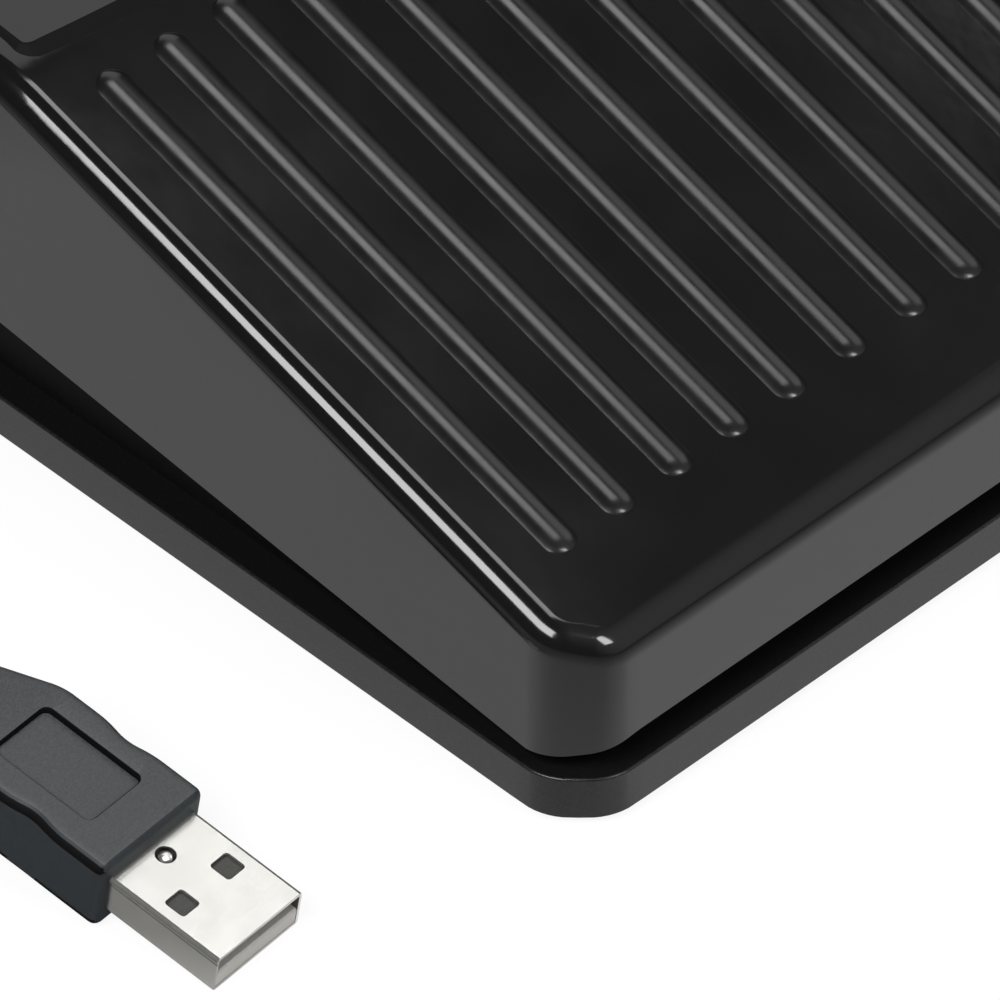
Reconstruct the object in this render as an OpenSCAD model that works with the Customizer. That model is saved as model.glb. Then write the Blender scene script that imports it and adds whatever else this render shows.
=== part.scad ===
// Foot pedal switch: a ribbed treadle hinged over a low base, with a coiled USB lead.
// The origin is on the floor under the middle of the base. X is to the right, Y runs
// from the low front to the raised rear, and Z is up. All sizes are in millimetres.

/* [Base] */
// Width of the base
base_w = 96; // [90:1:120]
// Length of the base
base_l = 130; // [126:1:160]
// Height of the base's outer edge
edge_h = 5; // [4.6:0.1:8]
// Corner radius of the base in plan
base_corner_r = 9; // [7:0.5:14]
// Thickness of the base floor
floor_t = 2.4; // [1.8:0.1:3]
// Thickness of the curb, the wall that stands inside the treadle's skirt
curb_t = 1.8; // [1.4:0.1:2.4]
// Rise of the curb above the edge at the rear
curb_rear_h = 18; // [15:0.5:22]
// Height of the rubber feet below the base
foot_h = 1; // [0.6:0.1:2]
// Diameter of a rubber foot
foot_d = 12; // [8:0.5:16]

/* [Treadle] */
// Step in from the base's side to the treadle's side
side_inset = 0.5; // [0.3:0.1:2]
// Ledge of the base in front of the treadle
front_inset = 0.5; // [0.3:0.1:3]
// Ledge of the base behind the treadle
rear_inset = 2; // [1:0.1:4]
// Gap under the treadle's front wall
front_gap = 3.8; // [2:0.1:5]
// Gap under the skirt at its low front end
skirt_gap = 0.9; // [0.5:0.1:2]
// Height of the treadle's front wall
nose_h = 12.2; // [11:0.1:16]
// Length of the sloping tread in plan
tread_l = 78.5; // [74:0.1:88]
// Slope of the tread
tread_slope = 17.5; // [15:0.5:20]
// Slope of the rear platform
platform_slope = 4; // [1:0.5:8]
// Slope of the skirt's lower edge
skirt_slope = 6.1; // [6:0.1:8]
// Thickness of the treadle's walls
wall_t = 2.2; // [1.8:0.1:2.8]
// Thickness of the treadle's roof
roof_t = 2.4; // [2:0.1:3.2]
// Radius of the rounded front top edge
nose_r = 2.8; // [2:0.1:6]
// Radius of the rounded rear top edge
tail_r = 4; // [2:0.5:5]
// Radius of the rounded side top edges
shoulder_r = 2.8; // [1:0.1:4]
// Rise of the smooth platform over the treadle's rear
platform_h = 1; // [0.5:0.1:2]
// Margin from the treadle's outline to the platform
platform_margin = 5; // [3:0.1:9]
// Radius of the platform's bowed front edge
platform_bow_r = 300; // [200:10:600]
// Turn of the treadle when it is pressed, in degrees
press_angle = 6; // [4:0.5:6]

/* [Ribs] */
// Ribs on each side of the middle rib
ribs_per_side = 5; // [2:1:5]
// Spacing of the ribs
rib_pitch = 7.6; // [6:0.1:7.8]
// Spacing of the middle rib from its neighbours
rib_middle_pitch = 8.15; // [7:0.05:9]
// Width of a rib
rib_w = 3.8; // [2:0.1:4.4]
// Height of a rib
rib_h = 0.7; // [0.3:0.1:1.4]
// Length of a rib along the tread
rib_l = 65.5; // [40:0.5:67]
// Distance from the treadle's front to the ribs, along the tread
rib_front = 11.2; // [8:0.1:14]

/* [Hinge and spring] */
// Diameter of the hinge pin
pin_d = 4; // [3:0.25:5]
// Height of the hinge axis above the base's edge
hinge_up = 6.8; // [6:0.1:8]
// Diameter of the return spring's wire
wire_d = 1.2; // [0.8:0.1:1.5]
// Outer diameter of the return spring
spring_d = 12; // [10:0.5:14]
// Height of the return spring at rest
spring_h = 26; // [22:0.5:28]
// Number of spring coils
spring_turns = 7; // [5:0.5:9]
// Distance from the hinge axis to the spring
spring_arm = 62; // [58:0.5:70]

/* [Board and switch] */
// Width of the circuit board
board_w = 36; // [34:1:44]
// Length of the circuit board
board_l = 42; // [40:1:46]
// Thickness of the circuit board
board_t = 1.6; // [1:0.1:2]
// Height of the board over the base floor
board_lift = 3; // [2.6:0.1:4]
// Length of the switch case
case_l = 20; // [19.5:0.1:21]
// Width of the switch case
case_w = 6.4; // [6:0.1:8]
// Height of the switch case
case_h = 10.2; // [9.5:0.1:10.5]
// Length of the switch lever
lever_l = 17.4; // [17:0.1:19]
// Rise of the switch lever at rest, in degrees
lever_rise = 8; // [7.5:0.5:9]
// Travel of the switch plunger
plunger_travel = 0.8; // [0.5:0.1:0.8]

/* [Lead] */
// Diameter of the lead
cord_d = 3.6; // [3:0.1:3.8]
// Length of the strain relief outside the base
relief_l = 14.4; // [10:0.2:18]
// Loops of the put-away coil
coil_turns = 12.25; // [8.25:1:12.25]
// Radius of the coil's widest loop
coil_r = 27; // [26:0.5:32]

/* [Plug] */
// Width of the plug's metal shell
shell_w = 12; // [11.8:0.1:12.2]
// Height of the plug's metal shell
shell_h = 4.5; // [4.3:0.1:4.7]
// Length of the shell in front of the grip
shell_l = 13.5; // [11.5:0.1:14]
// Sheet thickness of the shell
shell_t = 0.3; // [0.25:0.05:0.4]
// Width of the plug's grip
grip_w = 14.4; // [14:0.1:17]
// Thickness of the plug's grip
grip_h = 9; // [7.6:0.1:9.6]
// Length of the plug's grip
grip_l = 26; // [25:0.5:34]
// Length of the sleeve behind the grip
sleeve_l = 14; // [8:0.5:20]

/* [Hidden] */
$fn = 64;

// Clearances
pin_clear = 0.05;
seat_clear = 0.1;
running_gap = 0.3;
curb_side_gap = 0.8;
curb_end_gap = 1.2;
overcut = 1;

// Base levels
edge_z = foot_h + edge_h;
floor_z = foot_h + floor_t;
foot_seat = 1;
foot_inset = 15;

// Treadle outline
corner_step = 1;
treadle_w = base_w - 2 * side_inset;
treadle_corner_r = base_corner_r - corner_step;
treadle_front = front_inset - base_l / 2;
treadle_rear = base_l / 2 - rear_inset;
treadle_l = treadle_rear - treadle_front;
treadle_mid = (treadle_front + treadle_rear) / 2;
nose_z = edge_z + front_gap;
skirt_z = edge_z + skirt_gap;
tail_z = skirt_z + treadle_l * tan(skirt_slope);
tread_z = nose_z + nose_h;
nose_half = (90 + tread_slope) / 2;
bend_y = treadle_front + tread_l;
bend_z = tread_z + tread_l * tan(tread_slope);
tail_top_z = bend_z + (treadle_rear - bend_y) * tan(platform_slope);
platform_lead = 3;
platform_nose_y = bend_y - platform_lead;

// Curb inside the skirt
curb_w = treadle_w - 2 * (wall_t + curb_side_gap);
curb_front = treadle_front + wall_t + curb_end_gap;
curb_rear = treadle_rear - wall_t - curb_end_gap;
curb_l = curb_rear - curb_front;
curb_mid = (curb_front + curb_rear) / 2;
curb_r = treadle_corner_r - wall_t - curb_side_gap;
curb_rear_z = edge_z + curb_rear_h;

// Hinge
pin_r = pin_d / 2;
hinge_z = edge_z + hinge_up;
bearing_wall = 2.2;
bearing_gap = 0.8;
hinge_y = curb_front + curb_t + bearing_gap + bearing_wall + pin_r;
ear_wall = 2;
ear_x = 20;
ear_w = 3;
bearing_x = 29;
bearing_w = 9;
snap_mouth = 0.8;
curb_level_l = 10;
curb_front_z = hinge_z + pin_r + ear_wall;
curb_level_end = hinge_y + curb_level_l;

// Stop that holds the treadle down against its spring
stop_arm = 99;
stop_y = hinge_y + stop_arm;
stop_l = 12;
stop_reach = 2.6;
stop_t = 2;
hook_t = 2.2;
hook_reach = 2;
hook_gap = 0.5;
hook_drop = (stop_y - hinge_y + stop_l / 2) * sin(press_angle);
stop_z = floor_z + overcut + hook_drop + stop_t + running_gap;
hook_x = curb_w / 2 - curb_t - stop_reach - hook_gap - hook_t;

// Return spring
wire_r = wire_d / 2;
spring_r = spring_d / 2 - wire_r;
spring_y = hinge_y + spring_arm;
spring_top = floor_z + spring_h;
spring_post_h = 5;
spring_slack = 0.6;
spring_rings = 8;
spring_sides = 6;
spring_count = spring_rings * spring_turns;
spring_rise = spring_h - wire_d - 2 * seat_clear;
spring_path = [
    for (i = [0 : spring_count])
        let (a = 360 * i / spring_rings)
        [
            spring_r * cos(a), spring_y + spring_r * sin(a),
            floor_z + seat_clear + wire_r + spring_rise * i / spring_count
        ]
];
spring_gap = path_gap(spring_path, spring_rings - 1) - wire_d;
echo(spring_gap = spring_gap);

// Cup under the treadle's roof, wide enough for the spring's top as the treadle swings
cup_wall = 1.8;
cup_depth = 4;
cup_slack = 1.7;
cup_r = spring_d / 2 + cup_slack;

// Board
board_back = 7;
board_front = hinge_y + board_back;
board_rear = board_front + board_l;
board_z = floor_z + board_lift;
board_top = board_z + board_t;
board_hole_inset = 3.6;
post_r = 3;
screw_r = 1.2;
screw_head_r = 2.1;
screw_head_h = 1.4;
board_screw_l = 4;
screw_slot_w = 0.5;
screw_slot_l = 2.4;

// Parts on the board
chip_w = 4;
chip_l = 10;
chip_h = 1.6;
chip_x = 11;
chip_back = 18;
chip_y = board_front + chip_back;
chip_pins = 7;
chip_pin_pitch = 1.27;
chip_pin_w = 0.4;
chip_pin_out = 1;
crystal_w = 4.6;
crystal_l = 11;
crystal_r = 2.2;
crystal_h = 3.5;
crystal_x = -10;
crystal_back = 16;
crystal_y = board_front + crystal_back;
cap_w = 1.2;
cap_l = 2;
cap_h = 0.8;
cap_x_pitch = 2.6;
cap_y_pitch = 3;
cap_back = 7.5;
cap_y = crystal_y + crystal_l / 2 + cap_back;

// Switch
case_inset = 1;
case_front = board_front + case_inset;
case_top = board_top + case_h;
ear_t = 1;
switch_ear_wall = 0.7;
switch_ear_root = 1;
lever_pin_r = 0.5;
eye_r = 1;
pivot_inset = 1.8;
pivot_lift = 0.7;
lever_pivot_y = case_front + pivot_inset;
lever_pivot_z = case_top + pivot_lift;
lever_w = case_w - 2 * ear_t - 2 * seat_clear;
lever_low = 0.3;
lever_t = 0.4;
lever_tip = 1.4;
lever_contact = lever_l - lever_tip;
plunger_arm = 5.5;
plunger_l = 1.6;
plunger_w = 3;
plunger_depth = 3;
plunger_y = lever_pivot_y + plunger_arm;
plunger_top = lever_pivot_z + (plunger_arm - plunger_l / 2) * sin(lever_rise)
    + lever_low * cos(lever_rise) - seat_clear;
terminal_w = 1;
terminal_t = 0.6;
terminal_out = 1.5;
terminal_y = [2, case_l / 2, case_l - 2];
presser_y = lever_pivot_y + lever_contact * cos(lever_rise);
presser_z = lever_pivot_z + lever_contact * sin(lever_rise)
    + (lever_low + lever_t) / cos(lever_rise) + running_gap;
presser_r = 1.5;
presser_w = 8;

// Lead connection on the board
header_x = 6;
header_w = 10;
header_l = 4.5;
header_h = 6;
header_wall = 0.8;
header_back = 1;
header_inset = 1;
header_rear = board_rear - header_inset;
header_plug_l = 6;
header_plug_in = 0.6;
header_plug_front = header_rear - header_l + header_back + header_plug_in;
header_plug_rear = header_plug_front + header_plug_l;
lead_wire_r = 0.55;
lead_wire_sides = 6;
lead_wire_spread = 0.8;
wire_pitch = 2;
wire_z = board_top + header_h / 2;
wire_side = spring_d / 2 + 2.2;

// Lead entry
cord_r = cord_d / 2;
cord_lift = 1.8;
cord_z = edge_z + cord_lift;
cord_sides = 8;
relief_r = 3.4;
relief_neck_r = 2.6;
relief_flange_r = 4;
relief_flange_t = 1.5;
relief_tip_wall = 0.7;
relief_tip_l = 1.6;
relief_collar_l = 4;
relief_taper = 0.15;
relief_grooves = 4;
relief_groove_w = 1;
relief_tip_r = cord_r + relief_tip_wall;
relief_end = curb_rear + relief_l;
inner_l = 12;
inner_start = curb_rear - curb_t - relief_flange_t;
inner_end = inner_start - inner_l;
clamp_y = (inner_start + inner_end) / 2;
clamp_w = 24;
clamp_l = 6;
clamp_t = 2.4;
clamp_screw_x = 8;
clamp_screw_l = 6;
clamp_post_r = 3.2;
notch_side = 1.2;
notch_r = relief_r + notch_side;
notch_z = hinge_z + (cord_z + notch_r - hinge_z + (treadle_rear - hinge_y) * sin(press_angle))
    / cos(press_angle);

// Coil of the put-away lead: four layers that spiral in and out by turns
tie_t = 0.5;
tie_w = 4;
tie_gap = 0.4;
coil_layers = 4;
coil_clear = 0.5;
coil_step = cord_d + coil_clear;
coil_rings = 24;
coil_sides = 6;
coil_tail = 4;
layer_turns = coil_turns / coil_layers;
coil_inner_r = coil_r - coil_step * layer_turns;
coil_low_z = cord_r + tie_t + tie_gap;
coil_top_z = coil_low_z + (coil_layers - 1) * coil_step;
coil_x = -80;
coil_back = 26;
coil_y = relief_end + coil_back;
coil_start_angle = 90;
coil_count = coil_rings * coil_turns;
coil_start = [coil_x + coil_tail, coil_y + coil_r, coil_low_z];
coil_end = [coil_x - coil_r, coil_y - coil_tail, coil_top_z];
coil_loops = [
    for (i = [0 : coil_count])
        let (u = coil_layers * i / coil_count,
             a = coil_start_angle + 360 * i / coil_rings,
             r = i == coil_count ? coil_r : coil_radius(u))
        [coil_x + r * cos(a), coil_y + r * sin(a), coil_height(u)]
];
coil_path = concat([coil_start], coil_loops, [coil_end]);
coil_gap = path_gap(coil_loops, coil_rings - 4) - cord_d;
echo(coil_gap = coil_gap);

// Plug: tip, then grip, then sleeve, lying tip down beside the base
plug_x = -79.3;
plug_y = -53.9;
plug_yaw = 5.1;
grip_low = (shell_h - grip_h) / 2;
plug_pitch = atan(-grip_low / shell_l);
shell_seat = 4;
plug_axis_z = shell_h / 2;
grip_top = grip_low + grip_h;
grip_end = shell_l + grip_l;
waist_depth = 0.7;
waist_start = 6.3;
waist_l = 2.9;
grip_taper_l = 8.5;
grip_tail_w = 9;
grip_tail_h = 7;
sleeve_r = 3.3;
sleeve_root = 1;
sleeve_tip_wall = 0.6;
sleeve_tip_r = cord_r + sleeve_tip_wall;
plug_l = grip_end + sleeve_l;
tongue_t = 1.9;
tongue_inset = 0.5;
window_w = 2.5;
window_x = 3.2;
window_y = 6.9;
dimple_back = 1.7;
dimple_y = shell_l - dimple_back;
dimple_r = 0.75;
label_w = 7.6;
label_l = 12.2;
label_r = 0.8;
label_depth = 0.6;
label_inset = 4.8;
label_start = shell_l + label_inset;
contact_w = 1;
contact_t = 0.2;
contact_x = [-3.5, -1, 1, 3.5];
contact_start = [1.6, 2.4, 2.4, 1.6];
contact_end = 9.5;

// Routes of the free stretches, from the strain relief to the coil and from the coil to the plug
lead_route = [
    [0, relief_end, cord_z], [0, relief_end + 8, cord_z - 0.4],
    [-0.5, relief_end + 16, 6.2], [-3, relief_end + 24, 4.4],
    [-8, relief_end + 32, 3], [-15, relief_end + 39.5, 2.2], [-23, relief_end + 45, 1.9],
    [-32, relief_end + 49, 1.9], [-42, relief_end + 51.5, 1.9], [-52, relief_end + 52.6, 2],
    [-62, relief_end + 53, 2.4], [-70, relief_end + 53, coil_low_z], coil_start
];
plug_route = [
    coil_end, [-107, 90, 15], [-107, 85, 14.3], [-106.8, 80, 12.8], [-106.4, 75, 10.6],
    [-105.6, 70, 8], [-104.4, 65, 5.4], [-102.8, 60, 3.4], [-100.8, 55, 2.2], [-98.6, 50, 1.9],
    [-96.4, 45, 2.1], [-94.2, 40, 2.9], [-92.2, 35, 4.5], [-90.4, 30, 6.6], [-88.8, 25, 8.9],
    [-87.4, 20, 10.9], [-86.3, 15, 12.1], plug_point(plug_l + 8), plug_point(plug_l + 4), plug_point(plug_l)
];

function unit(v) = v / norm(v);

// Points of an arc about a centre, from one angle to another
function arc(centre, r, a0, a1, steps) =
    [for (i = [0 : steps]) let (a = a0 + (a1 - a0) * i / steps) centre + r * [cos(a), sin(a)]];

// Height of the treadle's top over a point of its length
function tread_height(y) = y < bend_y
    ? tread_z + (y - treadle_front) * tan(tread_slope)
    : bend_z + (y - bend_y) * tan(platform_slope);

// Place of a point on the plug's axis, in the part's frame
function plug_point(along) = [
    plug_x - sin(plug_yaw) * (along * cos(plug_pitch) - plug_axis_z * sin(plug_pitch)),
    plug_y + cos(plug_yaw) * (along * cos(plug_pitch) - plug_axis_z * sin(plug_pitch)),
    along * sin(plug_pitch) + plug_axis_z * cos(plug_pitch)
];

// Radius and height of the coil: u counts layers, so u = 1.5 is half way through the second
function coil_radius(u) =
    let (layer = floor(u), part = u - layer, span = coil_r - coil_inner_r)
    layer % 2 == 0 ? coil_r - span * part : coil_inner_r + span * part;
function coil_height(u) =
    coil_low_z + coil_step * (coil_climb(u - 1) + coil_climb(u - 2) + coil_climb(u - 3));

// Share of a climb that is done, over the half turn about the end of a layer
function coil_climb(past) = min(1, max(0, past * 2 * layer_turns + 0.5));

// Direction of a path at one of its points
function heading(path, i) = unit(path[min(i + 1, len(path) - 1)] - path[max(i - 1, 0)]);

// Ring of points square to a heading
function ring(centre, along, r, sides) =
    let (side = unit(cross(along, [0, 0, 1])), up = cross(side, along))
    [for (k = [0 : sides - 1]) centre + r * (cos(360 * k / sides) * side + sin(360 * k / sides) * up)];

// Tube of triangles swept along a path that never runs straight up
module tube(path, r, sides) {
    last = len(path) - 1;
    points = [for (i = [0 : last]) each ring(path[i], heading(path, i), r, sides)];
    walls = [
        for (i = [0 : last - 1], k = [0 : sides - 1])
            let (a = i * sides + k, b = i * sides + (k + 1) % sides)
            each [[a, a + sides, b], [b, a + sides, b + sides]]
    ];
    start_cap = [for (k = [1 : sides - 2]) [0, k, k + 1]];
    end_cap = [for (k = [1 : sides - 2]) [last * sides, last * sides + k + 1, last * sides + k]];
    polyhedron(points, concat(walls, start_cap, end_cap));
}

// Least distance between the points of a path that lie more than a few rings apart
function path_gap(path, skip) = min([
    for (i = [0 : len(path) - 1 - skip], j = [i + skip : len(path) - 1]) norm(path[i] - path[j])
]);

module rounded_plan(w, l, r) {
    square([w - 2 * r, l], center = true);
    square([w, l - 2 * r], center = true);
    for (x = [r - w / 2, w / 2 - r], y = [r - l / 2, l / 2 - r])
        translate([x, y]) circle(r);
}

module slab(w, l, r, z0, z1, y = 0)
    translate([0, y, z0]) linear_extrude(z1 - z0) rounded_plan(w, l, r);

// Side outline, drawn as [along Y, up Z], carried across the width
module across(w, x = 0)
    translate([x - w / 2, 0, 0]) rotate([90, 0, 90]) linear_extrude(w) children();

// Rod along X
module rod_x(r, w, y, z, x = 0)
    translate([x - w / 2, y, z]) rotate([0, 90, 0]) cylinder(r = r, h = w);

// Rod along Y, from y0 to y1
module rod_y(r, y0, y1, x, z, r2 = undef)
    translate([x, y0, z]) rotate([-90, 0, 0]) cylinder(r1 = r, r2 = is_undef(r2) ? r : r2, h = y1 - y0);

module block(x0, x1, y0, y1, z0, z1)
    translate([x0, y0, z0]) cube([x1 - x0, y1 - y0, z1 - z0]);

// Pan-head screw, its head seated at z = 0 and its shank below
module screw(shank_l) difference() {
    union() {
        translate([0, 0, -shank_l]) cylinder(r = screw_r, h = shank_l + screw_head_h / 2);
        cylinder(r = screw_head_r, h = screw_head_h);
    }
    for (a = [0, 90])
        rotate(a) block(-screw_slot_l / 2, screw_slot_l / 2, -screw_slot_w / 2, screw_slot_w / 2,
            screw_head_h / 2, screw_head_h + overcut);
}

// Places of the board's four screws
module at_board_screws(z)
    for (x = [board_hole_inset - board_w / 2, board_w / 2 - board_hole_inset],
         y = [board_front + board_hole_inset, board_rear - board_hole_inset])
        translate([x, y, z]) children();

module at_clamp_screws(z)
    for (x = [-clamp_screw_x, clamp_screw_x])
        translate([x, clamp_y, z]) children();

module at_feet()
    for (x = [foot_inset - base_w / 2, base_w / 2 - foot_inset],
         y = [foot_inset - base_l / 2, base_l / 2 - foot_inset])
        translate([x, y, 0]) children();

// Moulded base: floor, outer edge, curb, hinge ears, posts and stops
module base_tray() color("#1e1e1f") difference() {
    union() {
        difference() {
            slab(base_w, base_l, base_corner_r, foot_h, edge_z);
            curb_inside(floor_z, edge_z + overcut);
        }
        curb();
        for (x = [-ear_x, ear_x])
            hinge_ear(x);
        at_board_screws(foot_h) cylinder(r = post_r, h = board_z - foot_h);
        at_clamp_screws(foot_h) cylinder(r = clamp_post_r, h = cord_z + cord_r - foot_h);
        translate([0, spring_y, foot_h])
            cylinder(r = spring_r - wire_r - spring_slack, h = floor_z - foot_h + spring_post_h);
        block(-cord_r, cord_r, clamp_y - clamp_l / 2, clamp_y + clamp_l / 2, foot_h, cord_z - cord_r);
        for (s = [0, 1])
            mirror([s, 0, 0]) stop_ledge();
    }
    rod_x(pin_r + pin_clear, base_w, hinge_y, hinge_z);
    at_board_screws(board_top - board_screw_l - overcut)
        cylinder(r = screw_r + pin_clear, h = board_screw_l + overcut);
    at_clamp_screws(cord_z + cord_r + clamp_t - clamp_screw_l - overcut)
        cylinder(r = screw_r + pin_clear, h = clamp_screw_l + overcut);
    at_feet() cylinder(r = foot_d / 2 + seat_clear, h = foot_h + foot_seat);
    rod_y(relief_neck_r + pin_clear, curb_rear - curb_t - overcut, curb_rear + overcut, 0, cord_z);
    rod_y(relief_r + seat_clear, curb_rear, base_l / 2 + overcut, 0, cord_z);
}

module curb() intersection() {
    difference() {
        slab(curb_w, curb_l, curb_r, foot_h, curb_rear_z, curb_mid);
        curb_inside(0, curb_rear_z + overcut);
    }
    across(base_w) polygon([
        [curb_front - overcut, 0], [curb_rear + overcut, 0], [curb_rear + overcut, curb_rear_z],
        [curb_level_end, curb_front_z], [curb_front - overcut, curb_front_z]
    ]);
}

module curb_inside(z0, z1)
    slab(curb_w - 2 * curb_t, curb_l - 2 * curb_t, curb_r - curb_t, z0, z1, curb_mid);

module hinge_ear(x) {
    r = pin_r + ear_wall;
    block(x - ear_w / 2, x + ear_w / 2, hinge_y - r, hinge_y + r, foot_h, hinge_z);
    rod_x(r, ear_w, hinge_y, hinge_z, x);
}

module stop_ledge() {
    x1 = curb_w / 2 - curb_t / 2;
    x0 = curb_w / 2 - curb_t - stop_reach;
    block(x0, x1, stop_y - stop_l / 2, stop_y + stop_l / 2, stop_z, stop_z + stop_t);
}

module rubber_feet() color("#2a2a2b")
    at_feet() cylinder(d = foot_d, h = foot_h + foot_seat);

module hinge_pin() color("#b9bcc0")
    rod_x(pin_r, curb_w, hinge_y, hinge_z);

// Lower edge that sweeps down from the front wall to the skirts, over the length of the rounded corners
function front_sweep() = [
    for (i = [0 : 8])
        let (share = 1 - i / 8, back = treadle_corner_r * (1 - sin(90 * share)))
        [treadle_front + back, skirt_z + back * tan(skirt_slope) + (nose_z - skirt_z) * share]
];

// Side outline of the treadle with its rounded front and rear top edges
module treadle_outline() {
    nose_centre = [treadle_front + nose_r, tread_z - nose_r / tan(nose_half)];
    tail_half = (90 - platform_slope) / 2;
    tail_reach = tail_r / tan(tail_half);
    tail_centre = [treadle_rear - tail_r, tail_top_z - tail_reach];
    polygon(concat(
        front_sweep(),
        [[treadle_rear, tail_z]],
        arc(tail_centre, tail_r, 0, 90 + platform_slope, 8),
        [[bend_y, bend_z]],
        arc(nose_centre, nose_r, 90 + tread_slope, 180, 12)
    ));
}

// Space under the treadle's roof, open below
module treadle_cavity_outline() {
    front_drop = roof_t / cos(tread_slope);
    rear_drop = roof_t / cos(platform_slope);
    bend_shift = (front_drop - rear_drop) / (tan(tread_slope) - tan(platform_slope));
    y0 = treadle_front + wall_t;
    y1 = treadle_rear - wall_t;
    y2 = bend_y + bend_shift;
    r = max(running_gap, nose_r - max(wall_t, roof_t));
    centre = [y0 + r, tread_height(y0) - front_drop - r / tan(nose_half)];
    polygon(concat(
        [
            [y0, 0], [y1, 0], [y1, tread_height(y1) - rear_drop],
            [y2, bend_z + bend_shift * tan(tread_slope) - front_drop]
        ],
        arc(centre, r, 90 + tread_slope, 180, 12)
    ));
}

// Strip that rounds one side's top edge along a slope, starting at [y, z]
module shoulder_cut(y, z, slope, l) {
    r = shoulder_r;
    translate([treadle_w / 2, y, z]) rotate([slope, 0, 0]) translate([0, -r, 0]) rotate([90, 0, 180])
        linear_extrude(l + 2 * r) polygon(concat([[-overcut, overcut], [r, overcut]],
            arc([r, -r], r, 90, 180, 6), [[-overcut, -r]]));
}

module treadle_body() difference() {
    intersection() {
        across(treadle_w) treadle_outline();
        slab(treadle_w, treadle_l, treadle_corner_r, 0, tail_top_z + overcut, treadle_mid);
    }
    for (s = [0, 1])
        mirror([s, 0, 0]) {
            shoulder_cut(treadle_front, tread_z, tread_slope, tread_l / cos(tread_slope));
            shoulder_cut(bend_y, bend_z, platform_slope, treadle_rear - bend_y);
        }
}

// Raised platform behind the ribs, its front edge bowed forwards
module platform() {
    w = treadle_w - 2 * platform_margin;
    y1 = treadle_rear - platform_margin - tail_r / 2;
    l = y1 - platform_nose_y;
    intersection() {
        slab(w, l, platform_margin / 2, bend_z - roof_t, tail_top_z + 2 * platform_h,
            platform_nose_y + l / 2);
        translate([0, platform_nose_y + platform_bow_r, 0])
            cylinder(r = platform_bow_r, h = 2 * tail_top_z, $fn = 256);
        across(treadle_w) polygon([
            [platform_nose_y - overcut, 0], [treadle_rear, 0],
            [treadle_rear, tail_top_z + platform_h],
            [platform_nose_y - overcut, tail_top_z + platform_h
                - (treadle_rear - platform_nose_y + overcut) * tan(platform_slope)]
        ]);
    }
}

// One rib: a long dome-ended bar half sunk in the tread
module rib(x) {
    r = (rib_h * rib_h + rib_w * rib_w / 4) / (2 * rib_h);
    translate([x, treadle_front, tread_z]) rotate([tread_slope, 0, 0])
        translate([0, rib_front + rib_w / 2, rib_h - r]) rotate([-90, 0, 0])
            rotate_extrude() intersection() {
                union() {
                    square([r, rib_l - rib_w]);
                    circle(r);
                    translate([0, rib_l - rib_w]) circle(r);
                }
                translate([0, -r]) square([r, rib_l - rib_w + 2 * r]);
            }
}

// Snap bearing that clips over the hinge pin from above
module snap_bearing(x) {
    r = pin_r + bearing_wall;
    rod_x(r, bearing_w, hinge_y, hinge_z, x);
    block(x - bearing_w / 2, x + bearing_w / 2, hinge_y - r, hinge_y + r, hinge_z, tread_z + nose_h);
}

module stop_hook() {
    top = stop_z - running_gap;
    y0 = stop_y - stop_l / 2;
    y1 = stop_y + stop_l / 2;
    block(hook_x, hook_x + hook_t, y0, y1, top - stop_t, tail_top_z);
    block(hook_x, hook_x + hook_t + hook_reach, y0, y1, top - stop_t, top);
}

module presser() {
    rod_x(presser_r, presser_w, presser_y, presser_z + presser_r);
    block(-presser_w / 2, presser_w / 2, presser_y - presser_r, presser_y + presser_r,
        presser_z + presser_r, tail_top_z);
}

module treadle() color("#19191a") difference() {
    union() {
        difference() {
            union() {
                treadle_body();
                platform();
                rib(0);
                for (side = [-1, 1], i = [0 : ribs_per_side - 1])
                    rib(side * (rib_middle_pitch + i * rib_pitch));
            }
            intersection() {
                across(treadle_w) treadle_cavity_outline();
                slab(treadle_w - 2 * wall_t, treadle_l - 2 * wall_t, treadle_corner_r - wall_t,
                    0, tail_top_z, treadle_mid);
            }
        }
        intersection() {
            across(treadle_w) treadle_outline_below();
            union() {
                for (x = [-bearing_x, bearing_x])
                    snap_bearing(x);
                for (s = [0, 1])
                    mirror([s, 0, 0]) stop_hook();
                presser();
                translate([0, spring_y, spring_top - cup_depth])
                    cylinder(r = cup_r + cup_wall, h = tail_top_z);
            }
        }
    }
    for (x = [-bearing_x, bearing_x]) {
        rod_x(pin_r + pin_clear, bearing_w + overcut, hinge_y, hinge_z, x);
        block(x - bearing_w, x + bearing_w,
            hinge_y - pin_r + snap_mouth / 2, hinge_y + pin_r - snap_mouth / 2, 0, hinge_z);
    }
    translate([0, spring_y, 0]) cylinder(r = cup_r, h = spring_top + seat_clear);
    rod_y(notch_r, treadle_rear - wall_t - overcut, treadle_rear + overcut, 0, notch_z - notch_r);
    block(-notch_r, notch_r, treadle_rear - wall_t - overcut, treadle_rear + overcut, 0, notch_z - notch_r);
}

// Everything under the middle of the roof's thickness, for what hangs from it
module treadle_outline_below() {
    y0 = treadle_front + wall_t / 2;
    y1 = treadle_rear - wall_t / 2;
    polygon([
        [y0, 0], [y1, 0], [y1, tread_height(y1) - roof_t / 2],
        [bend_y, bend_z - roof_t / 2], [y0, tread_height(y0) - roof_t / 2]
    ]);
}

module return_spring() color("#c3c6c9")
    tube(spring_path, wire_r, spring_sides);

module circuit_board() color("#1f5a3a") difference() {
    block(-board_w / 2, board_w / 2, board_front, board_rear, board_z, board_top);
    at_board_screws(board_z - overcut) cylinder(r = screw_r + 2 * seat_clear, h = board_t + 2 * overcut);
    for (y = terminal_y)
        translate([0, case_front + y, board_z - overcut])
            cylinder(r = terminal_w / 2 + 2 * seat_clear, h = board_t + 2 * overcut);
}

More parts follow.
